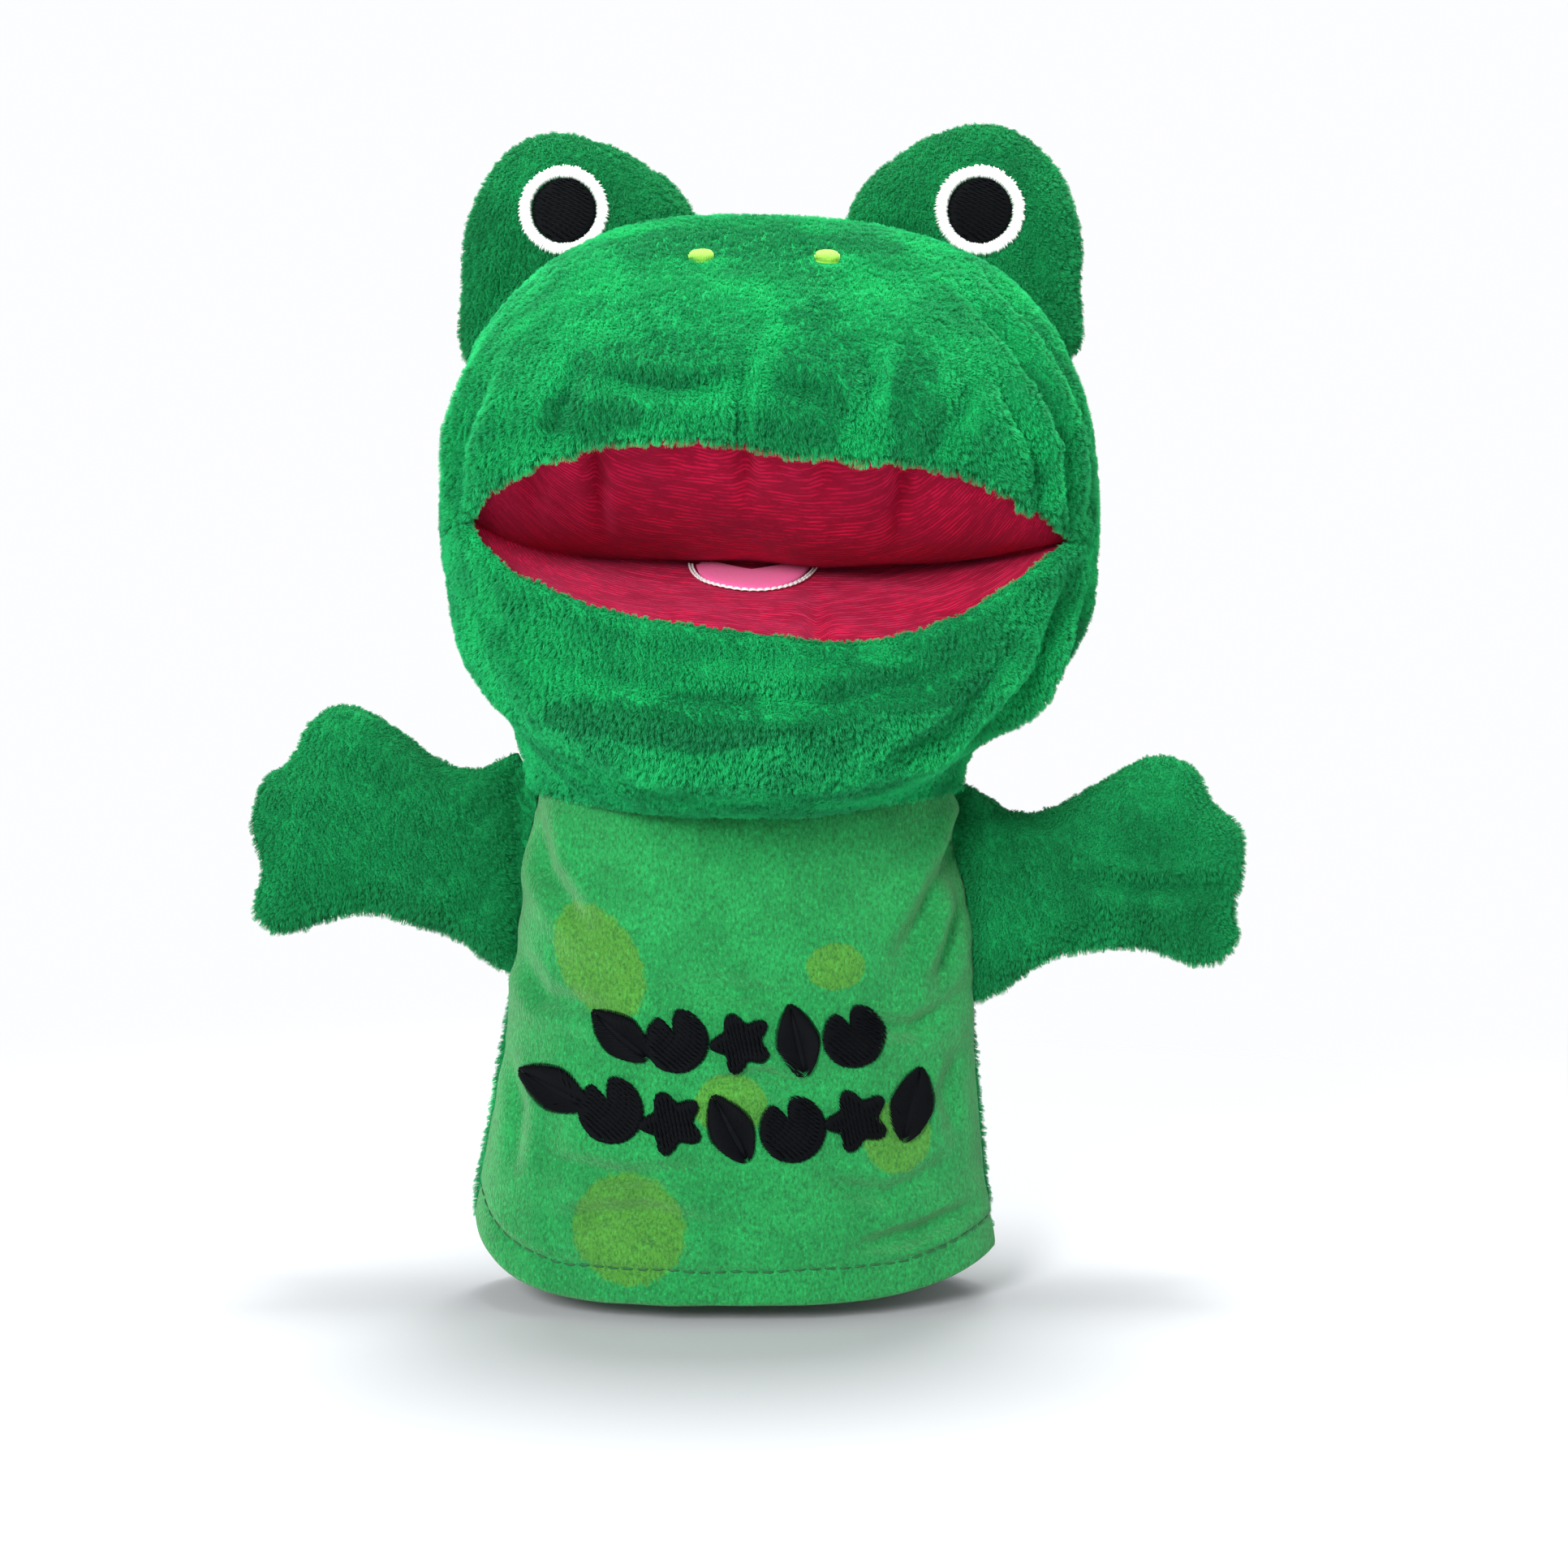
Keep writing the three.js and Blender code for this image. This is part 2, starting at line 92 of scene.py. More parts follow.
JOINTS = {j["name"]: j for j in frame["joints"]}
HINGE = np.array(JOINTS["jaw_open"]["pos_m"]) / MM
HEM_LOW, HEM_HIGH = box_mm("belly_panel")
FACE_LOW, FACE_HIGH = box_mm("face_panel")

PILE = 1.4  # how far the plush stands out from its backing
HALF_WIDTH = (FACE_HIGH[0] - FACE_LOW[0]) / 2 - PILE  # of the head
HEAD_TURN = 0.075  # sideways drift of the muzzle per millimetre of depth
FLOOR_ANGLE = math.radians(-14.9)  # the slope of the mouth's floor, about the fold
SHUT_ANGLE = 28.5  # degrees that the jaw would turn to press the lips together
SLEEVE_SPREAD = 2.2  # how much further the cloth of the sleeve goes at its lower left
LEFT_INSET = 1.8  # how much the cloth is drawn in at the left side of the head
CORNERS = {"left": 0.88, "right": 0.965}  # where the mouth's corners are, as shares of the half width
# Heights above the mouth's fold, at shares of the half width: the mouth is wide, blunt and uneven.
UPPER_LIP_LINE = np.array([
    (-0.88, 7.1), (-0.80, 11.0), (-0.67, 14.9), (-0.53, 17.6), (-0.41, 19.1), (-0.18, 19.8), (-0.02, 19.3),
    (0.14, 17.4), (0.31, 17.0), (0.46, 16.5), (0.64, 14.3), (0.77, 10.8), (0.88, 7.2), (0.965, 4.1),
])
LOWER_LIP_LINE = np.array([
    (-0.88, 7.1), (-0.81, 2.0), (-0.75, -1.9), (-0.67, -4.6), (-0.54, -7.6), (-0.41, -10.1), (-0.2, -12.4),
    (0.03, -14.0), (0.25, -15.2), (0.46, -14.1), (0.64, -10.4), (0.77, -4.8), (0.88, 0.6), (0.965, 4.1),
])
CREASE_LINE = np.array([
    (-0.88, 7.1), (-0.76, 3.4), (-0.6, 1.0), (-0.3, 0.2), (0, -0.4), (0.25, -1.0), (0.5, -0.2), (0.75, 1.4),
    (0.965, 4.1),
])
CROWN_SEAM, NAPE = 96.0, 214.0  # angles of the back cloth's two ends on the head

# Distance of the head's skin from the mouth's fold, by angle from the front over the crown.
HEAD_PROFILE = np.array([
    [-66, 50.5], [-51, 58], [-38, 65], [-26, 68], [-14.9, 64.2], [0, 66.3],
    [15.3, 68.4], [22, 73.5], [30, 75.5], [38, 74.8], [46, 73], [55, 71.2], [65, 69.8],
    [75, 68.6], [90, 66.5], [109, 67.7], [124.7, 63.2], [143.6, 52.2], [176, 43.1],
    [208.8, 45.7], [229.4, 55.3],
])
# How square the head is from side to side, by the same angle: the exponent of a superellipse.
HEAD_FULLNESS = np.array([[-66, 2], [-15, 2.3], [20, 2.7], [96, 2.75], [150, 2.7], [214, 2.4]])

SLEEVE_TOP = 104.0
SLEEVE_WIDTH = 43.0  # half width at the top
SLEEVE_FLARE = HEM_HIGH[0] - SLEEVE_WIDTH
SLEEVE_DEPTH = 23.0
DEPTH_FLARE = -HEM_LOW[1] - SLEEVE_DEPTH
SLEEVE_LEAN = 0.02
HEM_STITCH = 5.8  # how far above the hem its stitches run


# ---------------------------------------------------------------- small mathematics


def lerp(a, b, t):
    return a + (b - a) * t


def smooth(x, low, high):
    t = np.clip((x - low) / (high - low), 0, 1)
    return t * t * (3 - 2 * t)


def through(table, x):
    """A smooth function through the points of a table, by cubic Hermite pieces."""
    xs, ys = table[:, 0], table[:, 1]
    ends = np.clip(np.arange(len(xs))[:, None] + [-1, 1], 0, len(xs) - 1)
    slopes = (ys[ends[:, 1]] - ys[ends[:, 0]]) / (xs[ends[:, 1]] - xs[ends[:, 0]])
    i = np.clip(np.searchsorted(xs, x, side="right") - 1, 0, len(xs) - 2)
    h = xs[i + 1] - xs[i]
    t = np.clip((x - xs[i]) / h, 0, 1)
    s = 1 - t
    start = ys[i] * s * s * (1 + 2 * t) + slopes[i] * h * t * s * s
    return start + ys[i + 1] * t * t * (3 - 2 * t) - slopes[i + 1] * h * t * t * s


def points(x, y, z):
    return np.stack(np.broadcast_arrays(x, y, z), -1)


def distances(places, axis=0):
    """How far along a row of points each of them is, from 0 at the first."""
    steps = np.linalg.norm(np.diff(places, axis=axis), axis=-1)
    return np.concatenate([np.zeros_like(steps.take([0], axis)), np.cumsum(steps, axis=axis)], axis=axis)


def around(count):
    """Evenly spaced angles round a circle."""
    return np.linspace(0, 2 * np.pi, count, endpoint=False)


def on_curve(at, line, span):
    """The places on a line of points at some distances along it."""
    return np.stack([np.interp(span, at, line[:, i]) for i in range(line.shape[1])], -1)


def lumps(places, size, seed=0.0):
    """Smooth noise from -1 to 1 at each place, with bumps of about the given size."""
    flat = places.reshape(-1, 3) / size + np.array([seed, 3.1 * seed, 7.7])
    return np.array([noise.noise(Vector(p)) for p in flat]).reshape(places.shape[:-1])


def grid_normals(grid):
    """Unit normals of a grid of points, pointing away from its left-hand side."""
    n = np.cross(np.gradient(grid, axis=0), np.gradient(grid, axis=1))
    return n / np.maximum(np.linalg.norm(n, axis=-1, keepdims=True), 1e-9)


def near_path(x, z, path):
    """How far each (x, z) is from a line of points, and how far along it the nearest point is (0 to 1)."""
    path = np.array(path, float)
    start = distances(path)
    best, along = np.full(x.shape, 1e9), np.zeros(x.shape)
    for a, b, length, before in zip(path[:-1], path[1:], np.diff(start), start[:-1]):
        d = (b - a) / length
        t = np.clip((x - a[0]) * d[0] + (z - a[1]) * d[1], 0, length)
        away = np.hypot(x - a[0] - t * d[0], z - a[1] - t * d[1])
        closer = away < best
        best = np.where(closer, away, best)
        along = np.where(closer, (before + t) / start[-1], along)
    return best, along


def fold(x, z, path, depth, width, lip=0.45):
    """The height of a crease in cloth along a path: a groove with a soft roll on each side of it."""
    away, along = near_path(x, z, path)
    strength = np.clip(np.sin(np.pi * np.clip(along, 0.02, 0.98)), 0, 1) ** 0.5
    groove = np.exp(-((away / width) ** 2))
    rolls = np.exp(-(((away - 2.1 * width) / (1.1 * width)) ** 2))
    return depth * strength * (lip * rolls - groove)


# ---------------------------------------------------------------- the puppet's surfaces


def side_fall(angle, share):
    """How far the head's skin closes in at a share of its half width: 1 in the middle, 0 at the sides."""
    full = through(HEAD_FULLNESS, angle)
    return np.clip(1 - np.abs(share) ** full, 0, 1) ** (1 / full)


def head_point(angle, share, out=0.0):
    """A point of the head's skin, by degrees about the mouth's fold and a share of the half width."""
    angle, share = np.broadcast_arrays(np.asarray(angle, float), np.asarray(share, float))
    r = np.maximum((through(HEAD_PROFILE, angle) + out) * side_fall(angle, share), 0.8)
    dy = -r * np.cos(np.radians(angle))
    narrower = LEFT_INSET * np.clip(-share, 0, 1) ** 2
    x = HINGE[0] + (HALF_WIDTH + out) * share + narrower + HEAD_TURN * dy
    return points(x, HINGE[1] + dy, HINGE[2] + r * np.sin(np.radians(angle)))


def sleeve_point(turn, z, out=0.0):
    low = np.maximum(1 - z / SLEEVE_TOP, 0)
    w = SLEEVE_WIDTH + SLEEVE_FLARE * low + out
    d = SLEEVE_DEPTH + DEPTH_FLARE * low + out
    spread = SLEEVE_SPREAD * smooth(z, 62, 5) * np.clip(-np.cos(turn), 0, 1)
    return points(SLEEVE_LEAN * z + w * np.cos(turn) - spread, d * np.sin(turn), z)


def towards_corner(share):
    """How far along the lip a share of the head's width is: 0 in the middle and 1 at a corner."""
    return np.maximum(-share / CORNERS["left"], share / CORNERS["right"])


def line_angle(share, line):
    """The angle about the fold of a line of the mouth, which goes straight on past the mouth's corners."""
    held = np.clip(share, -CORNERS["left"], CORNERS["right"])
    angle = 0.0
    for _ in range(3):
        reach = through(HEAD_PROFILE, angle) * side_fall(angle, held)
        angle = np.degrees(np.arcsin(np.clip(through(line, held) / reach, -0.6, 0.6)))
    return angle - 10 * np.clip(towards_corner(share) - 1, 0, 1)


def upper_lip(share):
    return line_angle(share, UPPER_LIP_LINE)


def lower_lip(share):
    return line_angle(share, LOWER_LIP_LINE)


def spread(count, crowd=1.0):
    """Shares from -1 to 1 that crowd towards both ends."""
    even = np.linspace(-1, 1, count)
    return lerp(even, np.sin(even * np.pi / 2), crowd)


# ---------------------------------------------------------------- making meshes


def new_object(name, verts, faces, materials=(), uv=None):
    """A smooth-shaded mesh object from points in millimetres."""
    mesh = bpy.data.meshes.new(name)
    mesh.from_pydata((np.asarray(verts, float).reshape(-1, 3) * MM).tolist(), [], faces)
    mesh.validate()
    mesh.polygons.foreach_set("use_smooth", [True] * len(mesh.polygons))
    for material in materials:
        mesh.materials.append(material)
    if uv is not None:
        layer = mesh.uv_layers.new(name="cloth")
        corner = np.zeros(len(mesh.loops), int)
        mesh.loops.foreach_get("vertex_index", corner)
        layer.data.foreach_set("uv", uv.reshape(-1, 2)[corner].astype(np.float32).ravel())
    obj = bpy.data.objects.new(name, mesh)
    bpy.context.scene.collection.objects.link(obj)
    return obj


def grid_faces(nu, nv, ring=False):
    i, j = np.meshgrid(np.arange(nu if ring else nu - 1), np.arange(nv - 1), indexing="ij")
    k = (i + 1) % nu
    return np.stack([i * nv + j, k * nv + j, k * nv + j + 1, i * nv + j + 1], -1).reshape(-1, 4).tolist()


def arc_uv(grid):
    """Cloth coordinates: the distance across and along the grid, in metres, from its middle column."""
    across = distances(grid)
    across = across - across[len(across) // 2]
    return np.stack([across, distances(grid, 1)], -1) * MM


def applied(obj):
    """Applies an object's modifiers and gives its points in metres."""
    graph = bpy.context.evaluated_depsgraph_get()
    mesh = bpy.data.meshes.new_from_object(obj.evaluated_get(graph))
    obj.modifiers.clear()
    obj.data = mesh
    return np.array([v.co for v in mesh.vertices])


def thicken(obj, thickness, inner_material=0):
    """Gives a cloth its thickness: its points come twice, first for the outside and then for the inside."""
    shell = obj.modifiers.new("thickness", "SOLIDIFY")
    shell.thickness = thickness * MM
    shell.offset = -1
    shell.material_offset = inner_material
    applied(obj)


def cloth_piece(name, grid, materials, thickness=1.1):
    """A cloth shell from a grid of points whose normals already face out."""
    obj = new_object(name, grid, grid_faces(*grid.shape[:2]), materials, arc_uv(grid))
    thicken(obj, thickness, len(materials) - 1)
    return obj


def sunk_sides(grid, depth, width):
    """Turns the two long sides of a cloth inwards, so that its side seams lie in a valley."""
    before = distances(grid)
    away = np.minimum(before, before[-1] - before)
    return grid - grid_normals(grid) * (depth * np.exp(-((away / width) ** 2)))[..., None]


# ---------------------------------------------------------------- materials


class Nodes:
    """A short way to write a node material: each call adds a node and returns the socket asked for."""

    def __init__(self, name):
        self.material = bpy.data.materials.new(name)
        self.material.use_nodes = True
        self.tree = self.material.node_tree
        self.shader = self.tree.nodes["Principled BSDF"]

    def put(self, target, value):
        if isinstance(value, bpy.types.NodeSocket):
            self.tree.links.new(value, target)
        elif value is not None:
            target.default_value = value

    def add(self, kind, output=0, settings=None, **inputs):
        node = self.tree.nodes.new(kind)
        for key, value in (settings or {}).items():
            setattr(node, key, value)
        for key, value in inputs.items():
            self.put(node.inputs[key.replace("_", " ")], value)
        return node.outputs[output]

    def place(self):
        return self.add("ShaderNodeTexCoord", "Object")

    def cloth_uv(self):
        return self.add("ShaderNodeUVMap", settings={"uv_map": "cloth"})

    def split(self, vector):
        node = self.tree.nodes.new("ShaderNodeSeparateXYZ")
        self.put(node.inputs[0], vector)
        return node.outputs

    def scaled(self, vector, scale):
        node = self.tree.nodes.new("ShaderNodeMapping")
        self.put(node.inputs["Vector"], vector)
        node.inputs["Scale"].default_value = scale
        return node.outputs[0]

    def noise(self, vector, size, detail=2.0, rough=0.5):
        return self.add(
            "ShaderNodeTexNoise", "Fac", Vector=vector, Scale=1 / (size * MM), Detail=detail, Roughness=rough
        )

    def math(self, operation, a, b=None, clamp=False):
        node = self.tree.nodes.new("ShaderNodeMath")
        node.operation = operation
        node.use_clamp = clamp
        self.put(node.inputs[0], a)
        self.put(node.inputs[1], b)
        return node.outputs[0]

    def ramp(self, value, low, high):
        node = self.tree.nodes.new("ShaderNodeMapRange")
        node.interpolation_type = "SMOOTHSTEP"
        self.put(node.inputs["Value"], value)
        node.inputs["From Min"].default_value = low
        node.inputs["From Max"].default_value = high
        return node.outputs[0]

    def mix(self, amount, a, b):
        node = self.tree.nodes.new("ShaderNodeMix")
        node.data_type = "RGBA"
        for socket, value in zip((node.inputs[0], node.inputs[6], node.inputs[7]), (amount, a, b)):
            self.put(socket, (*value, 1) if isinstance(value, tuple) else value)
        return node.outputs[2]

    def bump(self, height, distance, strength=1.0, normal=None):
        node = self.tree.nodes.new("ShaderNodeBump")
        node.inputs["Strength"].default_value = strength
        node.inputs["Distance"].default_value = distance * MM
        self.put(node.inputs["Height"], height)
        self.put(node.inputs["Normal"], normal)
        return node.outputs[0]

    def finish(self, color, roughness, normal=None, sheen=0.0, tint=(1, 1, 1), specular=0.3):
        shader = self.shader.inputs
        self.put(shader["Base Color"], (*color, 1) if isinstance(color, tuple) else color)
        self.put(shader["Roughness"], roughness)
        self.put(shader["Normal"], normal)
        shader["Sheen Weight"].default_value = sheen
        shader["Sheen Roughness"].default_value = 0.45
        shader["Sheen Tint"].default_value = (*tint, 1)
        shader["Specular IOR Level"].default_value = specular
        return self.material


def shade(color, factor):
    return tuple(min(c * factor, 1) for c in color)


PLUSH_GREEN = (0.005, 0.352, 0.094)
BELLY_GREEN = (0.012, 0.262, 0.062)
SPOT_GREEN = (0.070, 0.255, 0.024)
CRIMSON = (0.570, 0.005, 0.048)
PINK = (0.950, 0.150, 0.400)
WHITE = (0.80, 0.81, 0.79)
BLACK = (0.0025, 0.003, 0.004)
LIME = (0.22, 0.50, 0.045)


BRUSHED = [  # patches of the face's plush brushed the other way: centre x and z, half width and height
    (15.0, 181.0, 7.0, 14.0), (-11.0, 184.0, 14.0, 5.0), (-25.0, 174.0, 10.0, 4.0), (33.0, 176.0, 5.0, 11.0),
    (0.0, 207.0, 34.0, 3.5), (-8.0, 120.0, 26.0, 5.0), (30.0, 126.0, 16.0, 4.0),
]


def ellipse(m, axes, x, z, half_width, half_height, tilt=0.0):
    """The squared distance from an ellipse's centre in front view, 1 on its edge."""
    a = math.radians(tilt)
    dx = m.math("SUBTRACT", axes["X"], x * MM)
    dz = m.math("SUBTRACT", axes["Z"], z * MM)
    squares = []
    for c, s, half in ((math.cos(a), math.sin(a), half_width), (-math.sin(a), math.cos(a), half_height)):
        across = m.math("ADD", m.math("MULTIPLY", dx, c), m.math("MULTIPLY", dz, s))
        squares.append(m.math("POWER", m.math("DIVIDE", across, half * MM), 2.0))
    return m.math("ADD", squares[0], squares[1])


def nap(m, place):
    """How light the pile looks by the way it is brushed, from 0 to 1."""
    axes = m.split(place)
    wobble = m.math("MULTIPLY", m.math("SUBTRACT", m.noise(place, 6, 4, 0.6), 0.5), 3.0)
    light = m.ramp(m.noise(place, 13, 3, 0.55), 0.25, 0.75)
    front = m.ramp(axes["Y"], -0.030, -0.045)
    for patch in BRUSHED:
        near = m.ramp(m.math("ADD", ellipse(m, axes, *patch), wobble), 1.3, 0.5)
        dark = m.math("MULTIPLY", m.math("MULTIPLY", near, front), 0.8)
        light = m.math("SUBTRACT", light, dark, clamp=True)
    return light


def plush_material(name, color, pile=1.0):
    """Short fluffy pile: brushed patches of lighter and darker nap over fine tufts, with painted shade in the
    low tufts and a painted highlight on the high ones.
    """
    m = Nodes(name)
    place = m.place()
    tufts = m.noise(m.scaled(place, (1, 1, 0.55)), 0.9, 3, 0.7)
    fine = m.noise(place, 0.28, 2, 0.6)
    brushed = m.mix(nap(m, place), shade(color, 0.72), shade(color, 1.20))
    # Painted shade and highlight: the colour follows the tufts' bump heights, darker where low and lighter
    # where high.
    tuft = m.mix(m.ramp(tufts, 0.3, 0.75), shade(color, 0.60), shade(color, 1.40))
    final = m.mix(0.4, brushed, tuft)
    normal = m.bump(tufts, 0.9 * pile, 0.8, m.bump(fine, 0.25 * pile, 0.6))
    return m.finish(final, 0.85, normal, 0.35, shade(color, 2.2), 0.15)


def strand_material(name, color, contrast=1.0):
    """The pile's fibres: painted shade towards the root and a painted highlight towards the tip, and each a
    little different.
    """
    m = Nodes(name)
    hair = m.tree.nodes.new("ShaderNodeHairInfo")
    dark, light = shade(color, 1.1 - 0.5 * contrast), shade(color, 1.1 + 0.55 * contrast)
    brushed = m.mix(nap(m, m.place()), dark, light)
    # Painted shade: each fibre darkens towards its root, deep in the pile.
    along = m.mix(m.ramp(hair.outputs["Intercept"], -0.1, 0.8), shade(color, 0.38), brushed)
    # Painted highlight: random fibres lighten towards a pale green at the tip.
    tip_highlight = m.math("MULTIPLY", m.ramp(hair.outputs["Intercept"], 0.35, 1.0), hair.outputs["Random"])
    final = m.mix(m.math("MULTIPLY", tip_highlight, 0.45 * contrast), along, (0.05, 0.66, 0.30))
    return m.finish(final, 0.6, None, 0.0, (1, 1, 1), 0.2)


def backing_material():
    """The knitted back of the plush, which shows inside the sleeve."""
    m = Nodes("cloth_back")
    place = m.place()
    rows = m.add("ShaderNodeTexWave", "Fac", settings={"bands_direction": "Z"}, Vector=place, Scale=330.0,
                 Distortion=1.5, Detail=1.0)
    fine = m.noise(place, 0.5, 2)
    color = m.mix(fine, shade(PLUSH_GREEN, 0.75), shade(PLUSH_GREEN, 1.5))
    return m.finish(color, 0.9, m.bump(rows, 0.25, 0.6), 0.1, (0.4, 0.9, 0.5))


def lining_material():
    """Crimson velour with fine rows in its pile, and painted shade in their low parts."""
    m = Nodes("mouth_velour")
    uv = m.cloth_uv()
    waver = m.noise(uv, 9, 2)
    phase = m.math("ADD", m.math("MULTIPLY", m.split(uv)["Y"], 4200.0), m.math("MULTIPLY", waver, 9.0))
    rows = m.ramp(m.math("SINE", phase), -1, 1)
    broken = m.math("MULTIPLY", rows, m.ramp(m.noise(m.scaled(uv, (0.5, 1, 1)), 2.5, 3), 0.38, 0.66))
    tufts = m.noise(m.scaled(uv, (0.45, 1, 1)), 0.5, 2)
    height = m.math("ADD", m.math("MULTIPLY", broken, 0.75), m.math("MULTIPLY", tufts, 0.75))
    patches = m.noise(uv, 16, 2)
    color = m.mix(m.ramp(patches, 0.3, 0.7), shade(CRIMSON, 0.78), shade(CRIMSON, 1.2))
    # Painted shade: darker where the rows and tufts of the pile are low.
    color = m.mix(m.math("MULTIPLY", m.ramp(height, 0.95, 0.3), 0.8), color, shade(CRIMSON, 0.36))
    return m.finish(color, 0.85, m.bump(height, 0.4, 0.7), 0.25, (1.0, 0.12, 0.3), 0.08)


SPOTS = [  # centre x and z, half width and half height in millimetres, and tilt in degrees
    (-26.5, 70.5, 8.0, 12.4, 30), (20.0, 70.0, 5.8, 4.6, 0), (-0.5, 43.2, 7.2, 5.9, 0),
    (32.2, 35.8, 6.6, 7.2, 20), (-20.5, 18.3, 11.2, 10.9, 0),
]


def belly_material():
    """Green velour printed with soft-edged lime spots on its front, with painted shade between its tufts and
    a painted highlight on them.
    """
    m = Nodes("belly_velour")
    place = m.place()
    axes = m.split(place)
    wobble = m.math("MULTIPLY", m.math("SUBTRACT", m.noise(place, 1.6, 3), 0.5), 0.5)
    spots = None
    for spot in SPOTS:
        inside = m.ramp(m.math("ADD", ellipse(m, axes, *spot), wobble), 1.12, 0.88)
        spots = inside if spots is None else m.math("MAXIMUM", spots, inside)
    front = m.ramp(axes["Y"], 0.004, -0.004)
    spots = m.math("MULTIPLY", m.math("MULTIPLY", spots, front), 0.9)
    patches = m.ramp(m.noise(place, 11, 3, 0.6), 0.25, 0.75)
    base = m.mix(patches, shade(BELLY_GREEN, 0.80), shade(BELLY_GREEN, 1.14))
    printed = m.mix(patches, shade(SPOT_GREEN, 0.82), shade(SPOT_GREEN, 1.10))
    tufts = m.noise(m.scaled(place, (1, 1, 0.6)), 0.55, 3, 0.75)
    # Painted shade: darker where the tufts are low.
    dark = m.math("MULTIPLY", m.ramp(tufts, 0.58, 0.3), 0.75)
    color = m.mix(dark, m.mix(spots, base, printed), shade(BELLY_GREEN, 0.35))
    # Painted highlight: lighter where the tufts are high.
    light = m.math("MULTIPLY", m.ramp(tufts, 0.55, 0.75), 0.5)
    color = m.mix(light, color, shade(BELLY_GREEN, 2.2))
    return m.finish(color, 0.85, m.bump(tufts, 0.7, 0.9), 0.35, (0.6, 1.0, 0.6), 0.15)


def thread_material(name, color, tint, roughness=0.45, sheen=0.25, specular=0.4):
    """Embroidery thread: a soft sheen along each stitch."""
    m = Nodes(name)
    place = m.place()
    fibre = m.noise(place, 0.16, 2)
    varied = m.mix(m.noise(place, 1.1, 2), shade(color, 0.80), shade(color, 1.18))
    return m.finish(varied, roughness, m.bump(fibre, 0.05, 0.5), sheen, tint, specular)


def plain_cloth_material(name, color, size=0.5, tint=(1, 1, 1)):
    m = Nodes(name)
    place = m.place()
    weave = m.noise(place, size, 3, 0.6)
    color = m.mix(weave, shade(color, 0.85), shade(color, 1.12))
    return m.finish(color, 0.8, m.bump(weave, 0.18, 0.6), 0.3, tint, 0.2)


def board_material():
    m = Nodes("pasteboard")
    place = m.place()
    fibre = m.noise(m.scaled(place, (1, 0.2, 1)), 0.8, 4, 0.7)
    return m.finish(m.mix(fibre, (0.55, 0.47, 0.36), (0.72, 0.66, 0.55)), 0.85, m.bump(fibre, 0.1, 0.5))


PLUSH = plush_material("plush", PLUSH_GREEN)
STRANDS = strand_material("plush_strands", PLUSH_GREEN)
# Darker copies of the plush and its fibres for the arms and eye lobes: painted shade, as those parts fall in
# shade.
SHADED_PLUSH = plush_material("shaded_plush", shade(PLUSH_GREEN, 0.60))
SHADED_STRANDS = strand_material("shaded_plush_strands", shade(PLUSH_GREEN, 0.70), 0.45)
BACKING = backing_material()
LINING = lining_material()
BELLY = belly_material()
WHITE_THREAD = thread_material("white_thread", WHITE, (1, 1, 1), 0.6)
BLACK_THREAD = thread_material("black_thread", BLACK, (0.3, 0.3, 0.35), 0.55, 0.0, 0.05)
LIME_THREAD = thread_material("lime_thread", LIME, (0.8, 1, 0.4), 0.5)
GREEN_THREAD = thread_material("green_thread", (0.004, 0.085, 0.022), (0.3, 0.8, 0.4), 0.5)
TONGUE = plain_cloth_material("tongue_cloth", PINK, 0.45, (1, 0.6, 0.8))
BOARD = board_material()


# ---------------------------------------------------------------- the pile


def add_pile(obj, strands, length, seed, material, bare=None):
    """Covers a piece with short hair, which moves with it; bare marks the points without hair."""
    bare = np.zeros(len(obj.data.vertices), bool) if bare is None else bare
    area = obj.vertex_groups.new(name="pile_area")
    area.add([int(i) for i in np.nonzero(~bare)[0]], 1.0, "REPLACE")
    obj.data.materials.append(material)
    system = obj.modifiers.new("pile", "PARTICLE_SYSTEM").particle_system
    system.vertex_group_density = area.name
    system.seed = seed
    p = system.settings
    speed = length * MM / 4  # Blender makes a hair four times as long as its starting speed
    p.type = "HAIR"
    p.count = strands
    p.hair_step = 3
    p.render_step = 3
    p.display_step = 2
    p.use_advanced_hair = True
    p.use_modifier_stack = False
    p.normal_factor = speed
    p.object_align_factor = (0, -0.1 * speed, -0.45 * speed)  # combed forward and down
    p.factor_random = 0.35 * speed
    p.child_type = "INTERPOLATED"
    p.rendered_child_count = 14
    p.child_percent = 0
    p.clump_factor = 0.3
    p.clump_shape = -0.1
    p.roughness_1 = 0.2 * MM
    p.roughness_1_size = 3 * MM
    p.roughness_2 = 0.3 * MM
    p.roughness_2_size = 1 * MM
    p.roughness_endpoint = 0.25 * MM
    p.root_radius = 1.0
    p.tip_radius = 0.3
    p.radius_scale = 0.09 * MM
    p.material = len(obj.data.materials)


# ---------------------------------------------------------------- cloth weights across the joints


def bend(obj, weights):
    """Bakes a cloth's placement into its points and spreads the weights over them; the weights are not
    applied to the cloth.
    """
    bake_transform(obj)
    share = np.clip(weights, 0, 1).astype(np.float32).ravel()
    share = np.tile(share, len(obj.data.vertices) // len(share))


def jaw_share(share):
    """How much of the jaw's turn the cloth takes at a share of the width, so that the lips meet."""
    return np.clip((upper_lip(share) - lower_lip(share)) / SHUT_ANGLE, 0, 1)


# ---------------------------------------------------------------- head and jaw


def settle(grid, amount=0.35, size=22, seed=1.0):
    """The small unevenness of hand-held cloth."""
    rise = amount * lumps(grid, size, seed) + 0.4 * amount * lumps(grid, size / 2.7, seed + 5)
    return grid + grid_normals(grid) * rise[..., None]


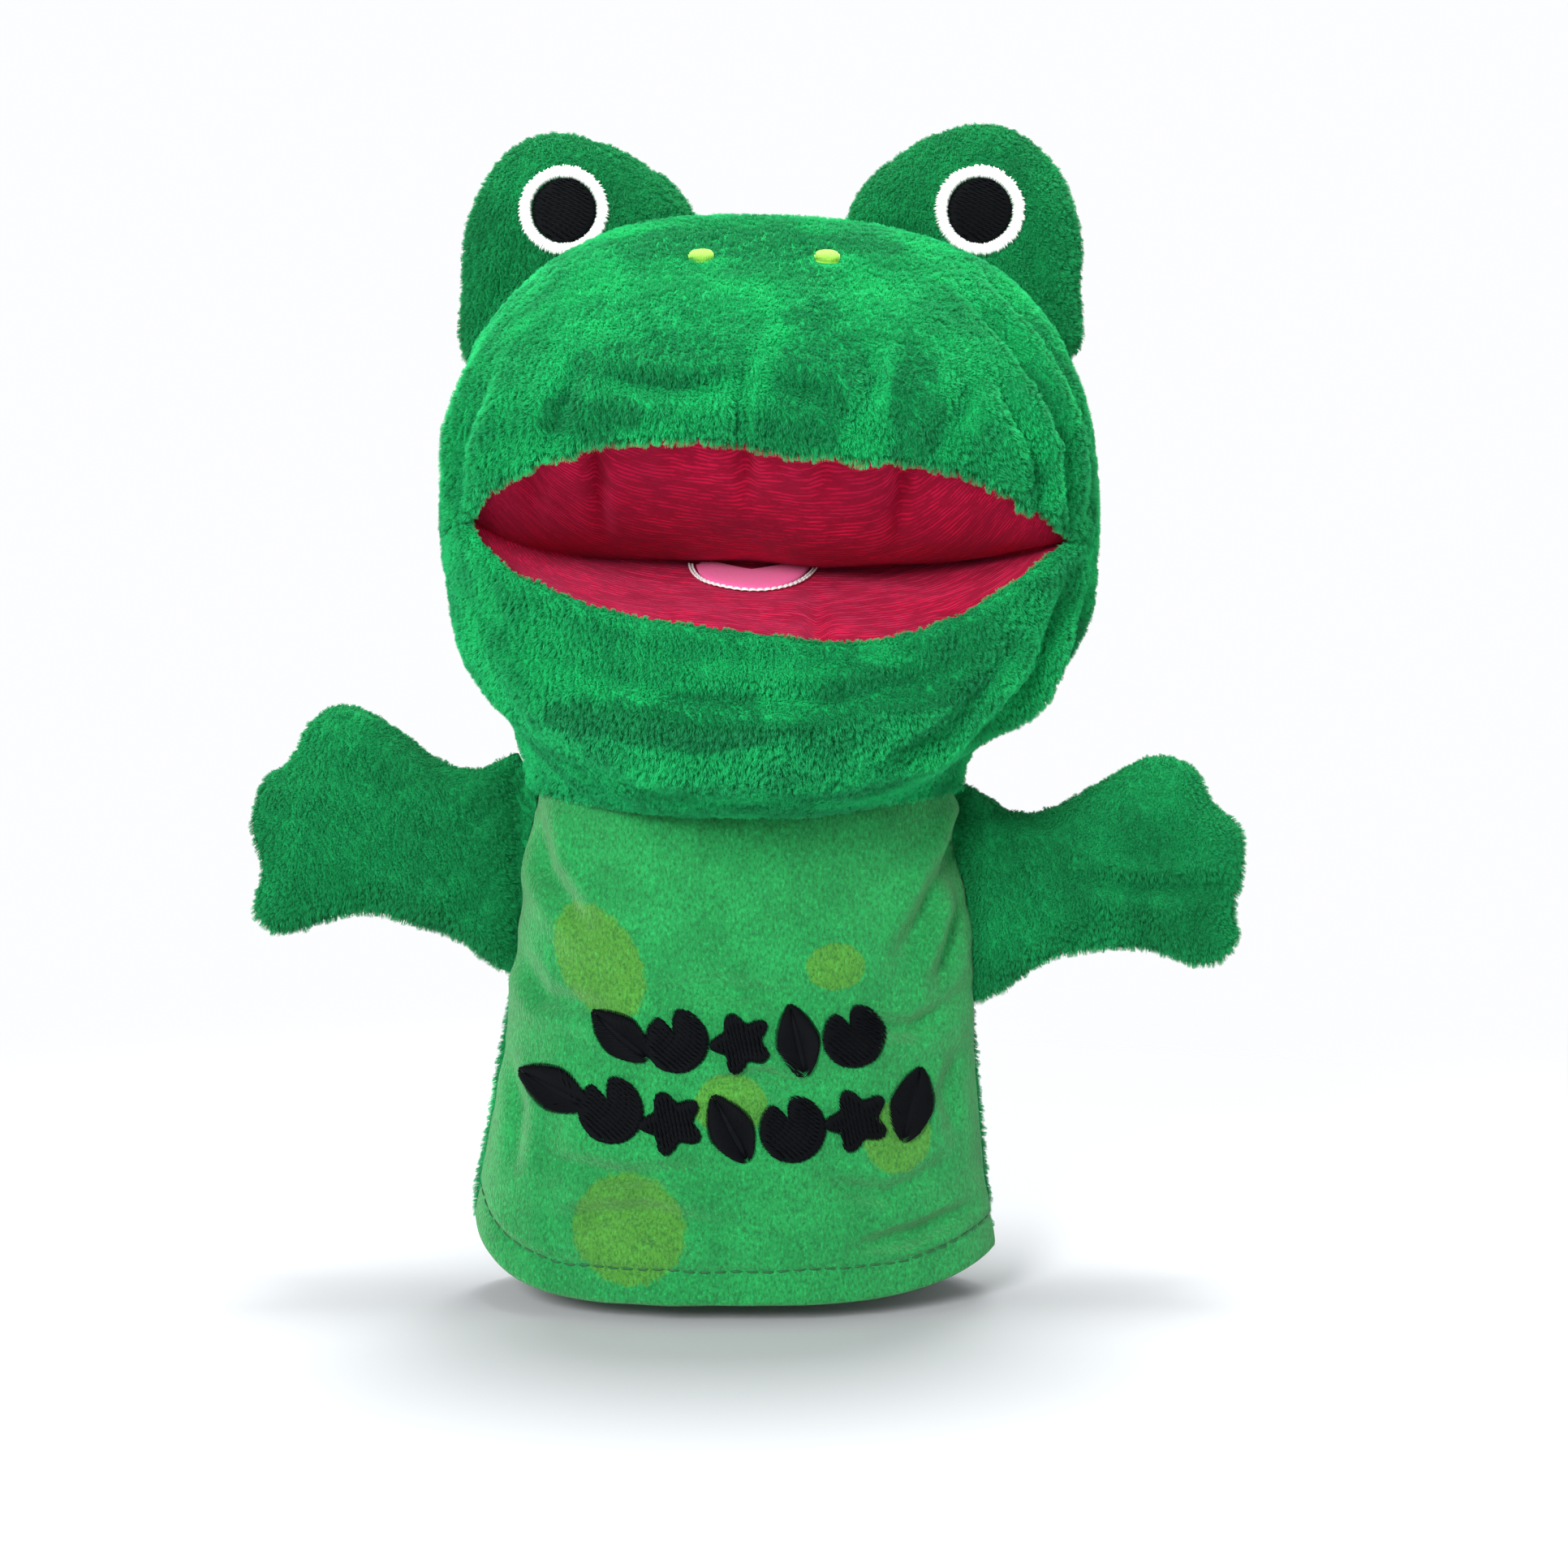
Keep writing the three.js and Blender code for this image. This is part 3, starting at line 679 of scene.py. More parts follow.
def apply_folds(grid, folds):
    """Presses creases into a cloth where it faces the front."""
    normals = grid_normals(grid)
    facing = np.clip(-normals[..., 1] * 4, 0, 1)
    rise = sum(fold(grid[..., 0], grid[..., 2], path, depth, width) for path, depth, width in folds)
    return grid + normals * (rise * facing)[..., None]


def edge_radius(share, lip, seam=0.9):
    """The radius of a turned edge: full along a lip, tight past its corners and least at the head's sides."""
    fall = np.clip(1 - np.abs(share) ** 2.6, 0, 1) ** (1 / 2.6)
    gape = np.clip(1 - towards_corner(share) ** 3.4, 0, 1) ** 0.5
    return lerp(seam, lip, gape) * np.clip(fall * 2.5, 0.1, 1)


def rolled(grid, start=None, end=None, turn=120):
    """Rolls the first or last row of a cloth inwards, as a turned seam does, with radii along the row."""
    normals = grid_normals(grid)
    steps = np.radians(np.linspace(0, turn, 7)[1:])
    parts = [grid]
    for radius, row, inner in ((start, 0, 1), (end, -1, -2)):
        if radius is None:
            continue
        radius = np.broadcast_to(radius, grid.shape[:1])[:, None]
        out = grid[:, row] - grid[:, inner]
        out /= np.maximum(np.linalg.norm(out, axis=-1, keepdims=True), 1e-6)
        n = normals[:, inner]
        rows = [grid[:, row] + radius * (out * np.sin(a) - n * (1 - np.cos(a))) for a in steps]
        if row == 0:
            parts.insert(0, np.stack(rows[::-1], 1))
        else:
            parts.append(np.stack(rows, 1))
    return np.concatenate(parts, axis=1)


def neck_rows(start_angle, step, ring, arrive, share, rows):
    """Carries the head's skin from an angle down to the neck ring, leaving and arriving smoothly."""
    t = np.linspace(0, 1, rows + 1)[1:][None, :, None]
    p0 = head_point(start_angle, share, -PILE)[:, None]
    leave = (head_point(start_angle + step, share, -PILE) - head_point(start_angle, share, -PILE))[:, None]
    leave = leave * 24 / abs(step)
    ring, arrive = ring[:, None], arrive[:, None]
    return (
        p0 * (2 * t**3 - 3 * t**2 + 1) + leave * (t**3 - 2 * t**2 + t)
        + ring * (3 * t**2 - 2 * t**3) + arrive * (t**3 - t**2)
    )


def neck_ring(share, front):
    """The line round the top of the sleeve where the head is sewn on."""
    turn = (2 * np.pi - np.arccos(share)) if front else np.arccos(share)
    middle = 101.5 if front else 106.0
    return sleeve_point(turn, lerp(middle, 105.0, np.abs(share) ** 3), 0.0)


def neck_arrival(share, front):
    """The direction and speed with which the head's skin reaches the ring."""
    side = np.abs(share) ** 3
    inward = np.array([0, 24, 7]) if front else np.array([0, 0, -22])
    return lerp(inward, np.array([0, 0, -36]), side[:, None])


FACE_FOLDS = [  # paths of (x, z) across the front of the face, with depth and width
    ([(2.5, 167), (2.2, 176), (3, 185)], 1.8, 1.2),
    ([(1, 179.5), (-10, 179), (-22, 181)], 1.7, 1.7),
    ([(6, 180), (16, 178), (24, 171)], 1.6, 2.0),
    ([(-32, 168), (-29, 176), (-26, 184)], 2.0, 1.8),
    ([(23, 172), (25, 180), (24, 187)], 1.5, 1.8),
    ([(36, 168), (41, 175), (43, 183)], 1.3, 1.9),
    ([(62, 157), (61, 171), (52, 187), (42, 198)], 3.2, 1.5),
    ([(66.5, 158), (66, 172), (58, 189), (48, 201)], 3.0, 1.4),
    ([(57, 158), (55, 169), (47, 181)], 2.0, 1.6),
    ([(-50, 158), (-49, 170), (-42, 185)], 2.0, 1.8),
    ([(-55, 158), (-54, 172), (-48, 187)], 2.0, 1.5),
    ([(-24, 200), (0, 203), (28, 199)], 1.1, 4.0),
]
CHIN_FOLDS = [
    ([(63, 146), (56, 128), (42, 112)], 3.0, 1.8),
    ([(68, 144), (60, 123), (46, 108)], 2.6, 1.5),
    ([(54, 136), (42, 120), (26, 110)], 1.7, 2.4),
    ([(-46, 130), (-38, 117), (-26, 110)], 1.3, 2.6),
    ([(-34, 132), (-8, 125), (18, 124), (40, 130)], 1.5, 2.0),
    ([(-26, 118), (4, 114), (30, 117)], 0.9, 3.0),
]


def lip_pucker(grid, angle, lip, share, waves, amount):
    """Small gathers where a lip is sewn to the lining."""
    near = np.exp(-(((angle - lip) / 5) ** 2)) * (towards_corner(share) < 1)
    wave = np.sin(share * waves + 2 * np.sin(share * waves / 3.6))
    return grid + grid_normals(grid) * (amount * near * wave)[..., None]


def make_face():
    """The upper head: from the lip over the muzzle to the crown seam."""
    share = spread(191)[:, None]
    v = np.linspace(0, 1, 120)[None, :]
    lip = upper_lip(share) + 2.1
    angle = lerp(lip, CROWN_SEAM - 1.0, v)
    grid = head_point(angle, share, -PILE)
    full = np.exp(-(((angle - 27) / 9) ** 2)) * np.clip(1 - np.abs(share) ** 2.2, 0, 1)
    puffs = 1 + 0.18 * np.cos(share * 9.5 + 0.5)
    grid = grid + grid_normals(grid) * (1.2 * full * puffs)[..., None]
    grid = lip_pucker(apply_folds(grid, FACE_FOLDS), angle, lip, share, 46, 0.3)
    grid = settle(grid, 0.6, 24, 2.0)
    share = share[:, 0]
    grid = rolled(grid, start=edge_radius(share, 1.9), end=edge_radius(share, 1.3, 1.3))
    face = cloth_piece("face", grid, [PLUSH, BACKING])
    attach(face, "head")
    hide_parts("face_panel")
    return face


def make_chin():
    """The jaw's plush: from the throat forward and up to the lower lip, with the cheeks beside it."""
    share = spread(191)[:, None]
    v = np.linspace(0, 1, 70)[None, :]
    lip = lower_lip(share) - 1.8
    angle = lerp(-45.0, lip, v)
    front = head_point(angle, share, -PILE)
    full = np.exp(-(((angle + 32) / 12) ** 2)) * np.clip(1 - np.abs(share) ** 2, 0, 1)
    front = front + grid_normals(front) * (1.0 * full)[..., None]
    s = share[:, 0]
    under = neck_rows(-45.0, -1.0, neck_ring(s, True), neck_arrival(s, True), s, 36)[:, ::-1]
    grid = np.concatenate([under, front], axis=1)
    grid = apply_folds(grid, CHIN_FOLDS)
    angles = np.concatenate([np.full(under.shape[:2], -60.0), angle + 0 * share], axis=1)
    grid = lip_pucker(grid, angles, lip, share, 40, 0.28)
    grid = settle(grid, 0.6, 24, 4.0)
    grid = rolled(grid, start=edge_radius(s, 1.2, 1.2), end=edge_radius(s, 1.9))
    chin = cloth_piece("chin", grid, [PLUSH, BACKING])
    below = distances(grid, 1)
    below = below / np.maximum(below[:, -1:], 1e-6)
    bend(chin, jaw_share(share) * smooth(below, 0.02, 0.86))
    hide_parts("chin_panel", "left_cheek_fold", "right_cheek_fold")
    return chin


def make_back():
    """One cloth from the crown seam down the back of the head and the sleeve to the hem."""
    share = spread(171)[:, None]
    s = share[:, 0]
    angle = lerp(CROWN_SEAM + 1.0, NAPE, np.linspace(0, 1, 84)[None, :])
    over = head_point(angle, share, -PILE)
    nape = neck_rows(NAPE, 1.0, neck_ring(s, False), neck_arrival(s, False), s, 24)
    low = hem_line(s, -1)[:, None]
    z = lerp(105.9 - 0.9 * np.abs(share) ** 3, low, np.linspace(0, 1, 80)[None, 1:])
    sleeve = sleeve_point(np.arccos(share), z, 0.0)
    grid = np.concatenate([over, nape, sleeve], axis=1)
    grid = settle(grid, 0.8, 30, 6.0)
    heights = grid[..., 2].copy()
    grid = sunk_sides(grid, 1.3, 1.8)
    grid = rolled(grid, start=edge_radius(s, 1.3, 1.3), end=np.full(len(s), 1.2), turn=170)
    back = cloth_piece("back", grid, [PLUSH, BACKING])
    extra = (grid.shape[1] - heights.shape[1]) // 2
    heights = np.pad(heights, ((0, 0), (extra, extra)), mode="edge")
    bend(back, neck_share(s, heights, 105.9))
    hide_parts("head_back_panel", "nape_fold", "back_panel")
    return back


# ---------------------------------------------------------------- sleeve


def hem_line(share, side):
    """The height of the hem on the front (side 1) or on the back (side -1): it rides up at the side seams."""
    front = 0.5 + 0.5 * side * np.sqrt(np.clip(1 - share**2, 0, 1))
    return 4.8 * front + np.where(share < 0, 15.0 * share**6, 8.5 * share**4)


def hem_round(turn):
    """The height of the hem at an angle round the sleeve."""
    return hem_line(np.cos(turn), -np.sign(np.sin(turn)))


def neck_share(share, z, top):
    """How fully the sleeve's cloth follows the head, from the neckline up to the neck ring."""
    line = 72 + 31.5 * np.abs(share[:, None]) ** 6
    return smooth(z, line, np.maximum(top, line + 1.5))


BELLY_FOLDS = [
    ([(50, 103), (43, 88), (33, 70)], 2.8, 2.2),
    ([(46, 96), (45, 80), (40, 64)], 2.2, 1.7),
    ([(-41, 102), (-38, 88), (-30, 78)], 2.2, 2.2),
    ([(-45, 72), (-38, 63), (-24, 61)], 1.7, 2.0),
    ([(46, 63), (36, 57), (24, 58)], 2.0, 2.0),
    ([(24, 14.2), (36, 16.0), (48, 20)], 2.2, 1.5),
    ([(-6, 47.0), (6, 49), (16, 46.5)], 1.4, 1.4),
    ([(-36, 31), (-22, 28.5), (-6, 30)], 1.3, 1.8),
    ([(-18, 64), (-4, 66), (14, 64)], 1.1, 2.2),
    ([(-36, 19), (-18, 22), (0, 19)], 1.4, 1.9),
    ([(18, 27), (30, 24.5), (44, 30)], 1.4, 1.8),
    ([(-46, 50), (-43, 40), (-44, 28)], 1.3, 1.7),
    ([(46, 52), (42.5, 44), (45, 34)], 1.2, 1.6),
]


def make_belly():
    """The velour front of the sleeve, from the hem up into the throat."""
    share = spread(171, 0.8)[:, None]
    s = share[:, 0]
    top = neck_ring(s, True)[:, 2][:, None] + 2.0
    z = lerp(hem_line(s, 1)[:, None], top, np.linspace(0, 1, 150)[None, :])
    tuck = -1.2 * smooth(z, 98, 103)
    grid = sleeve_point(2 * np.pi - np.arccos(share), z, tuck - 0.2)
    away = z - hem_line(s, 1)[:, None]
    turned_up = 0.45 * smooth(away, 5.6, 1.0) - 0.55 * np.exp(-(((away - HEM_STITCH) / 0.8) ** 2))
    grid = grid + grid_normals(grid) * turned_up[..., None]
    grid = apply_folds(grid, BELLY_FOLDS)
    sewn = np.exp(-(((z - 46) / 18) ** 4)) * np.clip(1.2 - np.abs(share), 0, 1)
    grid = grid + grid_normals(grid) * (0.7 * sewn * lumps(grid, 6.5, 2.2))[..., None]
    grid = settle(grid, 1.0, 24, 8.0)
    heights = grid[..., 2].copy()
    grid = sunk_sides(grid, 1.3, 1.8)
    rows = grid.shape[1]
    grid = rolled(grid, start=np.full(len(s), 1.1), turn=175)
    belly = cloth_piece("belly", grid, [BELLY, BACKING], 1.0)
    heights = np.pad(heights, ((0, 0), (grid.shape[1] - rows, 0)), mode="edge")
    bend(belly, neck_share(s, heights, 101.5))
    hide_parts("belly_panel", "throat_fold")
    return belly


def make_hem():
    """The cloth turned up inside the hem."""
    turn = np.linspace(0, 2 * np.pi, 161)[:, None]
    v = np.linspace(0, 1, 9)[None, :]
    z = hem_round(turn) + lerp(0.0, 8.0, v)
    inner = sleeve_point(turn, z, -2.6 - 0.25 * np.sin(v * np.pi) + 0.12 * np.sin(turn * 23 + v * 2))
    obj = new_object("hem_turning", inner[::-1], grid_faces(*inner.shape[:2]), [BACKING], arc_uv(inner))
    thicken(obj, 0.9)
    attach(obj, "sleeve")
    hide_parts("hem_fold")


# ---------------------------------------------------------------- mouth


# Where the lining is gathered: the lip (0 upper, 2 lower), x, depth, length as a share, and width.
PUCKERS = [
    (0, -24, 4.2, 0.42, 1.5), (0, -36, 2.2, 0.32, 1.8), (0, 31, 3.6, 0.40, 1.6), (0, 3, 2.4, 0.28, 1.4),
    (0, 17, 1.5, 0.22, 1.8), (0, -10, 1.0, 0.2, 1.8), (2, 16, 2.6, 0.45, 1.7), (2, -12, 1.2, 0.25, 1.8),
    (2, 40, 1.4, 0.28, 1.8),
]


def make_boards(flat, share):
    """Pasteboard behind the lining: a new one over the mouth's roof, the CAD's own under its floor."""
    grid = flat[np.abs(share[:, 0]) < 0.6][:, 9:52] + (0, 0, 3.8)
    board = cloth_piece("upper_board", grid, [BOARD], -1.2)
    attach(board, "head")
    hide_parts("upper_mouth_board")
    for slot in frame["nodes"]["lower_mouth_board"].material_slots:
        slot.material = BOARD


def make_lining():
    """The crimson velour inside the mouth, folded along the crease at the back."""
    share = spread(161, 0.75)[:, None]
    share = np.where(share < 0, CORNERS["left"], CORNERS["right"]) * share
    near = towards_corner(share)
    crease_z = through(CREASE_LINE, share)

    def lip_radius(angle):
        inset = PILE + 2.0 + 4.0 * near**6
        return (through(HEAD_PROFILE, angle) - inset) * side_fall(angle, share)

    def at(reach, height):
        x = HINGE[0] + (HALF_WIDTH - 2.8 * near**4) * share + LEFT_INSET * np.clip(-share, 0, 1) ** 2
        return points(x - HEAD_TURN * reach, HINGE[1] - reach, HINGE[2] + height)

    corner = np.sqrt(np.maximum(lip_radius(0) ** 2 - crease_z**2, 0))
    back = at(lerp(3.0, corner, near**4), crease_z)

    def half(lip, t, bulge):
        r = np.maximum(lip_radius(lip), np.abs(crease_z) + 0.5)
        edge = at(r * np.cos(np.radians(lip)), r * np.sin(np.radians(lip)))
        grid = lerp(edge, back, t[..., None])
        grid[..., 2] += np.clip(1 - near**3, 0, 1) * bulge * np.sin(np.pi * t**1.36)
        return grid

    t = np.linspace(0, 1, 60)[None, :]
    lean = 0.5 + 0.5 * np.tanh(share * 3)
    upper = half(upper_lip(share) + 1.7, t, -3.6 - 1.6 * lean)
    lower = half(lower_lip(share) - 1.4, t, -0.9 + 0.6 * lean)
    make_boards(half(upper_lip(share) + 1.7, t, 0.0), share)
    grid = np.concatenate([lower, upper[:, ::-1][:, 1:]], axis=1)
    n = grid_normals(grid)
    row = np.concatenate([2 - t, t[:, ::-1][:, 1:]], axis=1)
    lip_gathers = np.exp(-((row / 0.16) ** 2)) + 0.8 * np.exp(-(((2 - row) / 0.13) ** 2))
    wave = np.sin(share * 38 + 2.2 * np.sin(share * 9)) * np.clip(1 - near**6, 0, 1)
    rise = 0.45 * wave * lip_gathers * (row > 0.02)
    for lip_row, x, depth, long, wide in PUCKERS:
        away = (grid[..., 0] - x) / wide
        rise = rise - depth * np.exp(-(away**2)) * np.exp(-(((row - lip_row) / long) ** 2))
    rise = rise + 0.5 * lumps(grid, 13, 3.3)
    grid = grid + n * rise[..., None]
    lining = cloth_piece("mouth_lining", grid, [LINING, BACKING], 0.9)
    far = np.clip((np.abs(row - 1) * 60) / 9, 0, 1)
    weights = jaw_share(share) * np.where(row > 1, far * far * (3 - 2 * far), 0)
    bend(lining, weights)
    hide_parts("upper_mouth_lining", "lower_mouth_lining")
    return lining


def surface_of(*objects, keep=lambda middle, normal: True):
    """A search tree of the faces of some pieces, in millimetres, or of the ones to keep."""
    verts, faces = [], []
    for obj in objects:
        start = len(verts)
        verts += [obj.matrix_world @ v.co / MM for v in obj.data.vertices]
        faces += [[start + i for i in p.vertices] for p in obj.data.polygons if keep(p.center / MM, p.normal)]
    return BVHTree.FromPolygons(verts, faces)


def lay(tree, places, normal, reach=30):
    """Drops points along a direction on to a surface; gives the places and the surface's normals there."""
    normal = Vector(normal).normalized()
    put, normals = [], []
    for p in np.reshape(places, (-1, 3)):
        hit, n = tree.ray_cast(Vector(p) + normal * reach, -normal, 2 * reach)[:2]
        put.append(p if hit is None else hit)
        normals.append(normal if hit is None else (n if n.dot(normal) > 0 else -n))
    return np.array(put).reshape(places.shape), np.array(normals).reshape(places.shape)


def tubes(paths, normals, half_width, half_height, blunt=0.3):
    """Threads: each path is a row of points, and each thread is a flattened tube with closed ends."""
    paths, normals = np.asarray(paths), np.asarray(normals)
    count, steps = paths.shape[:2]
    along = np.gradient(paths, axis=1)
    along /= np.maximum(np.linalg.norm(along, axis=-1, keepdims=True), 1e-9)
    side = np.cross(along, normals)
    side /= np.maximum(np.linalg.norm(side, axis=-1, keepdims=True), 1e-9)
    up = np.cross(side, along)
    sides = 5
    taper = np.ones(steps)
    taper[[0, -1]] = blunt
    a = np.arange(sides) / sides * 2 * np.pi
    across = half_width * np.cos(a)[None, None, :, None] * side[:, :, None]
    lift = half_height * np.sin(a)[None, None, :, None] * up[:, :, None]
    verts = paths[:, :, None] + (across + lift) * taper[None, :, None, None]
    base = np.arange(count)[:, None, None] * steps * sides
    i, j = np.meshgrid(np.arange(steps - 1), np.arange(sides), indexing="ij")
    k = (j + 1) % sides
    corners = [i * sides + j, (i + 1) * sides + j, (i + 1) * sides + k, i * sides + k]
    faces = (base + np.stack(corners, -1).reshape(1, -1, 4)).reshape(-1, 4).tolist()
    for start in range(0, count * steps * sides, steps * sides):
        faces.append([start + j for j in range(sides)])
        faces.append([start + (steps - 1) * sides + j for j in range(sides)][::-1])
    return verts.reshape(-1, 3), faces


def inside_lines(outline, angle, pitch, longest, seed):
    """Stitches that fill an outline: parallel lines at an angle, broken where they would be too long."""
    rng = np.random.default_rng(seed)
    c, s = math.cos(angle), math.sin(angle)
    turned = outline @ np.array([[c, -s], [s, c]])
    low, high = turned[:, 1].min(), turned[:, 1].max()
    lines = []
    for row, y in enumerate(np.arange(low + pitch * 0.5, high, pitch)):
        a, b = turned, np.roll(turned, -1, axis=0)
        crossing = (a[:, 1] > y) != (b[:, 1] > y)
        x = a[crossing, 0] + (y - a[crossing, 1]) / (b[crossing, 1] - a[crossing, 1]) * (b - a)[crossing, 0]
        x = np.sort(x)
        for x0, x1 in zip(x[::2], x[1::2]):
            x0, x1 = x0 - rng.uniform(0, 0.15), x1 + rng.uniform(0, 0.15)
            cuts = [x0]
            at = x0 + longest * (0.4 + 0.3 * (row % 3))
            while at < x1 - 0.35 * longest:
                cuts.append(at)
                at += longest
            cuts.append(x1)
            lines += [((p, y), (q, y)) for p, q in zip(cuts[:-1], cuts[1:]) if q - p > 0.3]
    return np.array(lines) @ np.array([[c, s], [-s, c]])


def in_plane(centre, normal, flat):
    """Places in the plane through a centre that faces along a normal: first across, then up."""
    n = Vector(normal).normalized()
    up = Vector((0, 0, 1)) - n * n.z
    across = up.cross(n).normalized()
    return np.array(centre) - flat[..., :1] * np.array(across) + flat[..., 1:] * np.array(up.normalized())


def padding(tree, centre, outline, height, normal, hole=0.0):
    """The raised ground under satin stitches: a low dome inside an outline, or a low ring."""
    share = np.linspace(hole, 1, 8)[None, :, None]
    put, normals = lay(tree, in_plane(centre, normal, outline[:, None] * share), normal, 14)
    across = (share - hole) / (1 - hole)
    lift = np.sqrt(np.clip(4 * across * (1 - across), 0, 1)) if hole else np.sqrt(1 - across**4)
    grid = put + normals * (height * lift - 0.2)
    return grid[::-1].reshape(-1, 3), grid_faces(*grid.shape[:2], ring=True)


def stitched(name, tree, centre, lines, height, half_width, material, outline, normal=(0, -1, 0), hole=0.0):
    """Satin stitches over padding: each line runs between two points of a plane and arcs over it."""
    t = np.linspace(0, 1, 6)
    flat = lines[:, 0, None] * (1 - t)[None, :, None] + lines[:, 1, None] * t[None, :, None]
    put, normals = lay(tree, in_plane(centre, normal, flat), normal, 14)
    long = np.linalg.norm(lines[:, 1] - lines[:, 0], axis=-1)
    arch = np.sqrt(np.clip(4 * t * (1 - t), 0, 1))[None, :] * np.clip(long / 2.2, 0.35, 1)[:, None]
    low = 0.45 * height
    put = put + normals * (low + (height - low) * arch - 0.1)[..., None]
    verts, faces = tubes(put, normals, half_width, 0.16)
    ground, ground_faces = padding(tree, centre, outline, 0.85 * height, normal, hole)
    faces += [[i + len(verts) for i in face] for face in ground_faces]
    return new_object(name, np.vstack([verts, ground]), faces, [material])


TONGUE_SIZE = (11.6, 18.6)  # half width and length
TONGUE_ROOT = (-3.2, 4.5)  # across from the middle, and forward from the fold


def tongue_outline(grow):
    a = np.linspace(0, np.pi, 41)
    across = TONGUE_ROOT[0] + (TONGUE_SIZE[0] + grow) * np.cos(a)
    return np.stack([across, TONGUE_ROOT[1] + (TONGUE_SIZE[1] + grow) * np.sin(a) ** 1.05], -1)


def in_mouth(x, reach):
    """A place in the plane of the mouth's floor: across from the middle, and forward from the fold."""
    y = HINGE[1] - reach * math.cos(FLOOR_ANGLE)
    return points(HINGE[0] + x - HEAD_TURN * reach, y, HINGE[2] + reach * math.sin(FLOOR_ANGLE))


def on_mouth_floor(middle, normal):
    """Whether a face of the lining, by its middle and its normal, is on the floor of the mouth."""
    away = middle - Vector(HINGE)
    return normal.z > 0.3 and away.z < 0.12 * away.y


def make_tongue(lining):
    """A pink cloth tongue on the lower lining, with a white line of stitches round it."""
    tree = surface_of(lining, keep=on_mouth_floor)
    outline = tongue_outline(-0.3)
    rings = np.linspace(0, 1, 13)[None, :, None]
    middle = np.array([TONGUE_ROOT[0], 10.0])
    flat = middle + (outline[:, None] - middle) * rings
    up = (0, math.sin(FLOOR_ANGLE), math.cos(FLOOR_ANGLE))
    put, normals = lay(tree, in_mouth(flat[..., 0], flat[..., 1]), up, 6)
    grid = put + normals * (0.35 + 0.75 * np.sqrt(1 - rings**4))
    obj = cloth_piece("tongue_cloth", grid, [TONGUE], 0.5)
    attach(obj, "jaw")
    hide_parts("tongue")

    pitch, paths = 1.5, []
    for grow, phase in ((0.5, 0.0), (1.1, 0.5)):
        line = tongue_outline(grow)
        at = distances(line)
        for k in range(int(at[-1] / pitch)):
            paths.append(on_curve(at, line, (k + phase + np.linspace(0.0, 1.12, 5)) * pitch))
    flat = np.array(paths)
    put, normals = lay(tree, in_mouth(flat[..., 0], flat[..., 1]), up, 6)
    arch = np.sin(np.linspace(0, np.pi, 5)) * 0.25
    put = put + normals * (0.35 + arch)[None, :, None]
    sewn = new_object("tongue_stitches", *tubes(put, normals, 0.24, 0.2, 0.5), [WHITE_THREAD])
    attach(sewn, "jaw")
    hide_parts("tongue_stitching")


# ---------------------------------------------------------------- stuffed pieces


def closed_curve(corners, count):
    """Evenly spaced points on a smooth closed curve (a centripetal Catmull-Rom spline) through corners."""
    p = np.array(corners, float)
    t = np.linspace(0, 1, 8, endpoint=False)[:, None]
    pieces = []
    for i in range(len(p)):
        a, b, c, d = p[i - 1], p[i], p[(i + 1) % len(p)], p[(i + 2) % len(p)]
        k0, k1, k2 = (np.linalg.norm(q - r) ** 0.5 for q, r in ((b, a), (c, b), (d, c)))
        m1 = k1 * ((b - a) / k0 - (c - a) / (k0 + k1) + (c - b) / k1)
        m2 = k1 * ((c - b) / k1 - (d - b) / (k1 + k2) + (d - c) / k2)
        pieces.append((2 * t**3 - 3 * t**2 + 1) * b + (t**3 - 2 * t**2 + t) * m1
                      + (3 * t**2 - 2 * t**3) * c + (t**3 - t**2) * m2)
    curve = np.concatenate(pieces)
    curve = np.vstack([curve, curve[:1]])
    at = distances(curve)
    return on_curve(at, curve, np.linspace(0, at[-1], count, endpoint=False))


def pillow(curve, centre, depth):
    """A closed double-sided shape inside a curve in the plane of x and z, with the given half depth."""
    n, rings = len(curve), np.linspace(0, 1, 12)[1:]
    middle = np.array([centre[0], centre[2]])
    flat = middle + rings[:, None, None] * (curve - middle)
    half = depth(flat[..., 0], rings[:, None])
    top = depth(middle[0], 0.0)
    front = points(flat[..., 0], centre[1] - half, flat[..., 1]).reshape(-1, 3)
    back = points(flat[:-1, :, 0], centre[1] + half[:-1], flat[:-1, :, 1]).reshape(-1, 3)
    ends = np.array([centre, centre], float) + [[0, -top, 0], [0, top, 0]]
    last = len(rings) - 1

    def index(side, ring, k):
        start = 2 if side == 0 or ring == last else 2 + len(rings) * n
        return start + ring * n + k % n

    faces = []
    for k in range(n):
        faces += [(0, index(0, 0, k), index(0, 0, k + 1)), (1, index(1, 0, k + 1), index(1, 0, k))]
        for r in range(last):
            faces.append((index(0, r, k), index(0, r + 1, k), index(0, r + 1, k + 1), index(0, r, k + 1)))
            faces.append((index(1, r, k + 1), index(1, r + 1, k + 1), index(1, r + 1, k), index(1, r, k)))
    return np.vstack([ends, front, back]), faces


SIM_SCALE = 20  # the cloth solver works best on something the size of a cushion


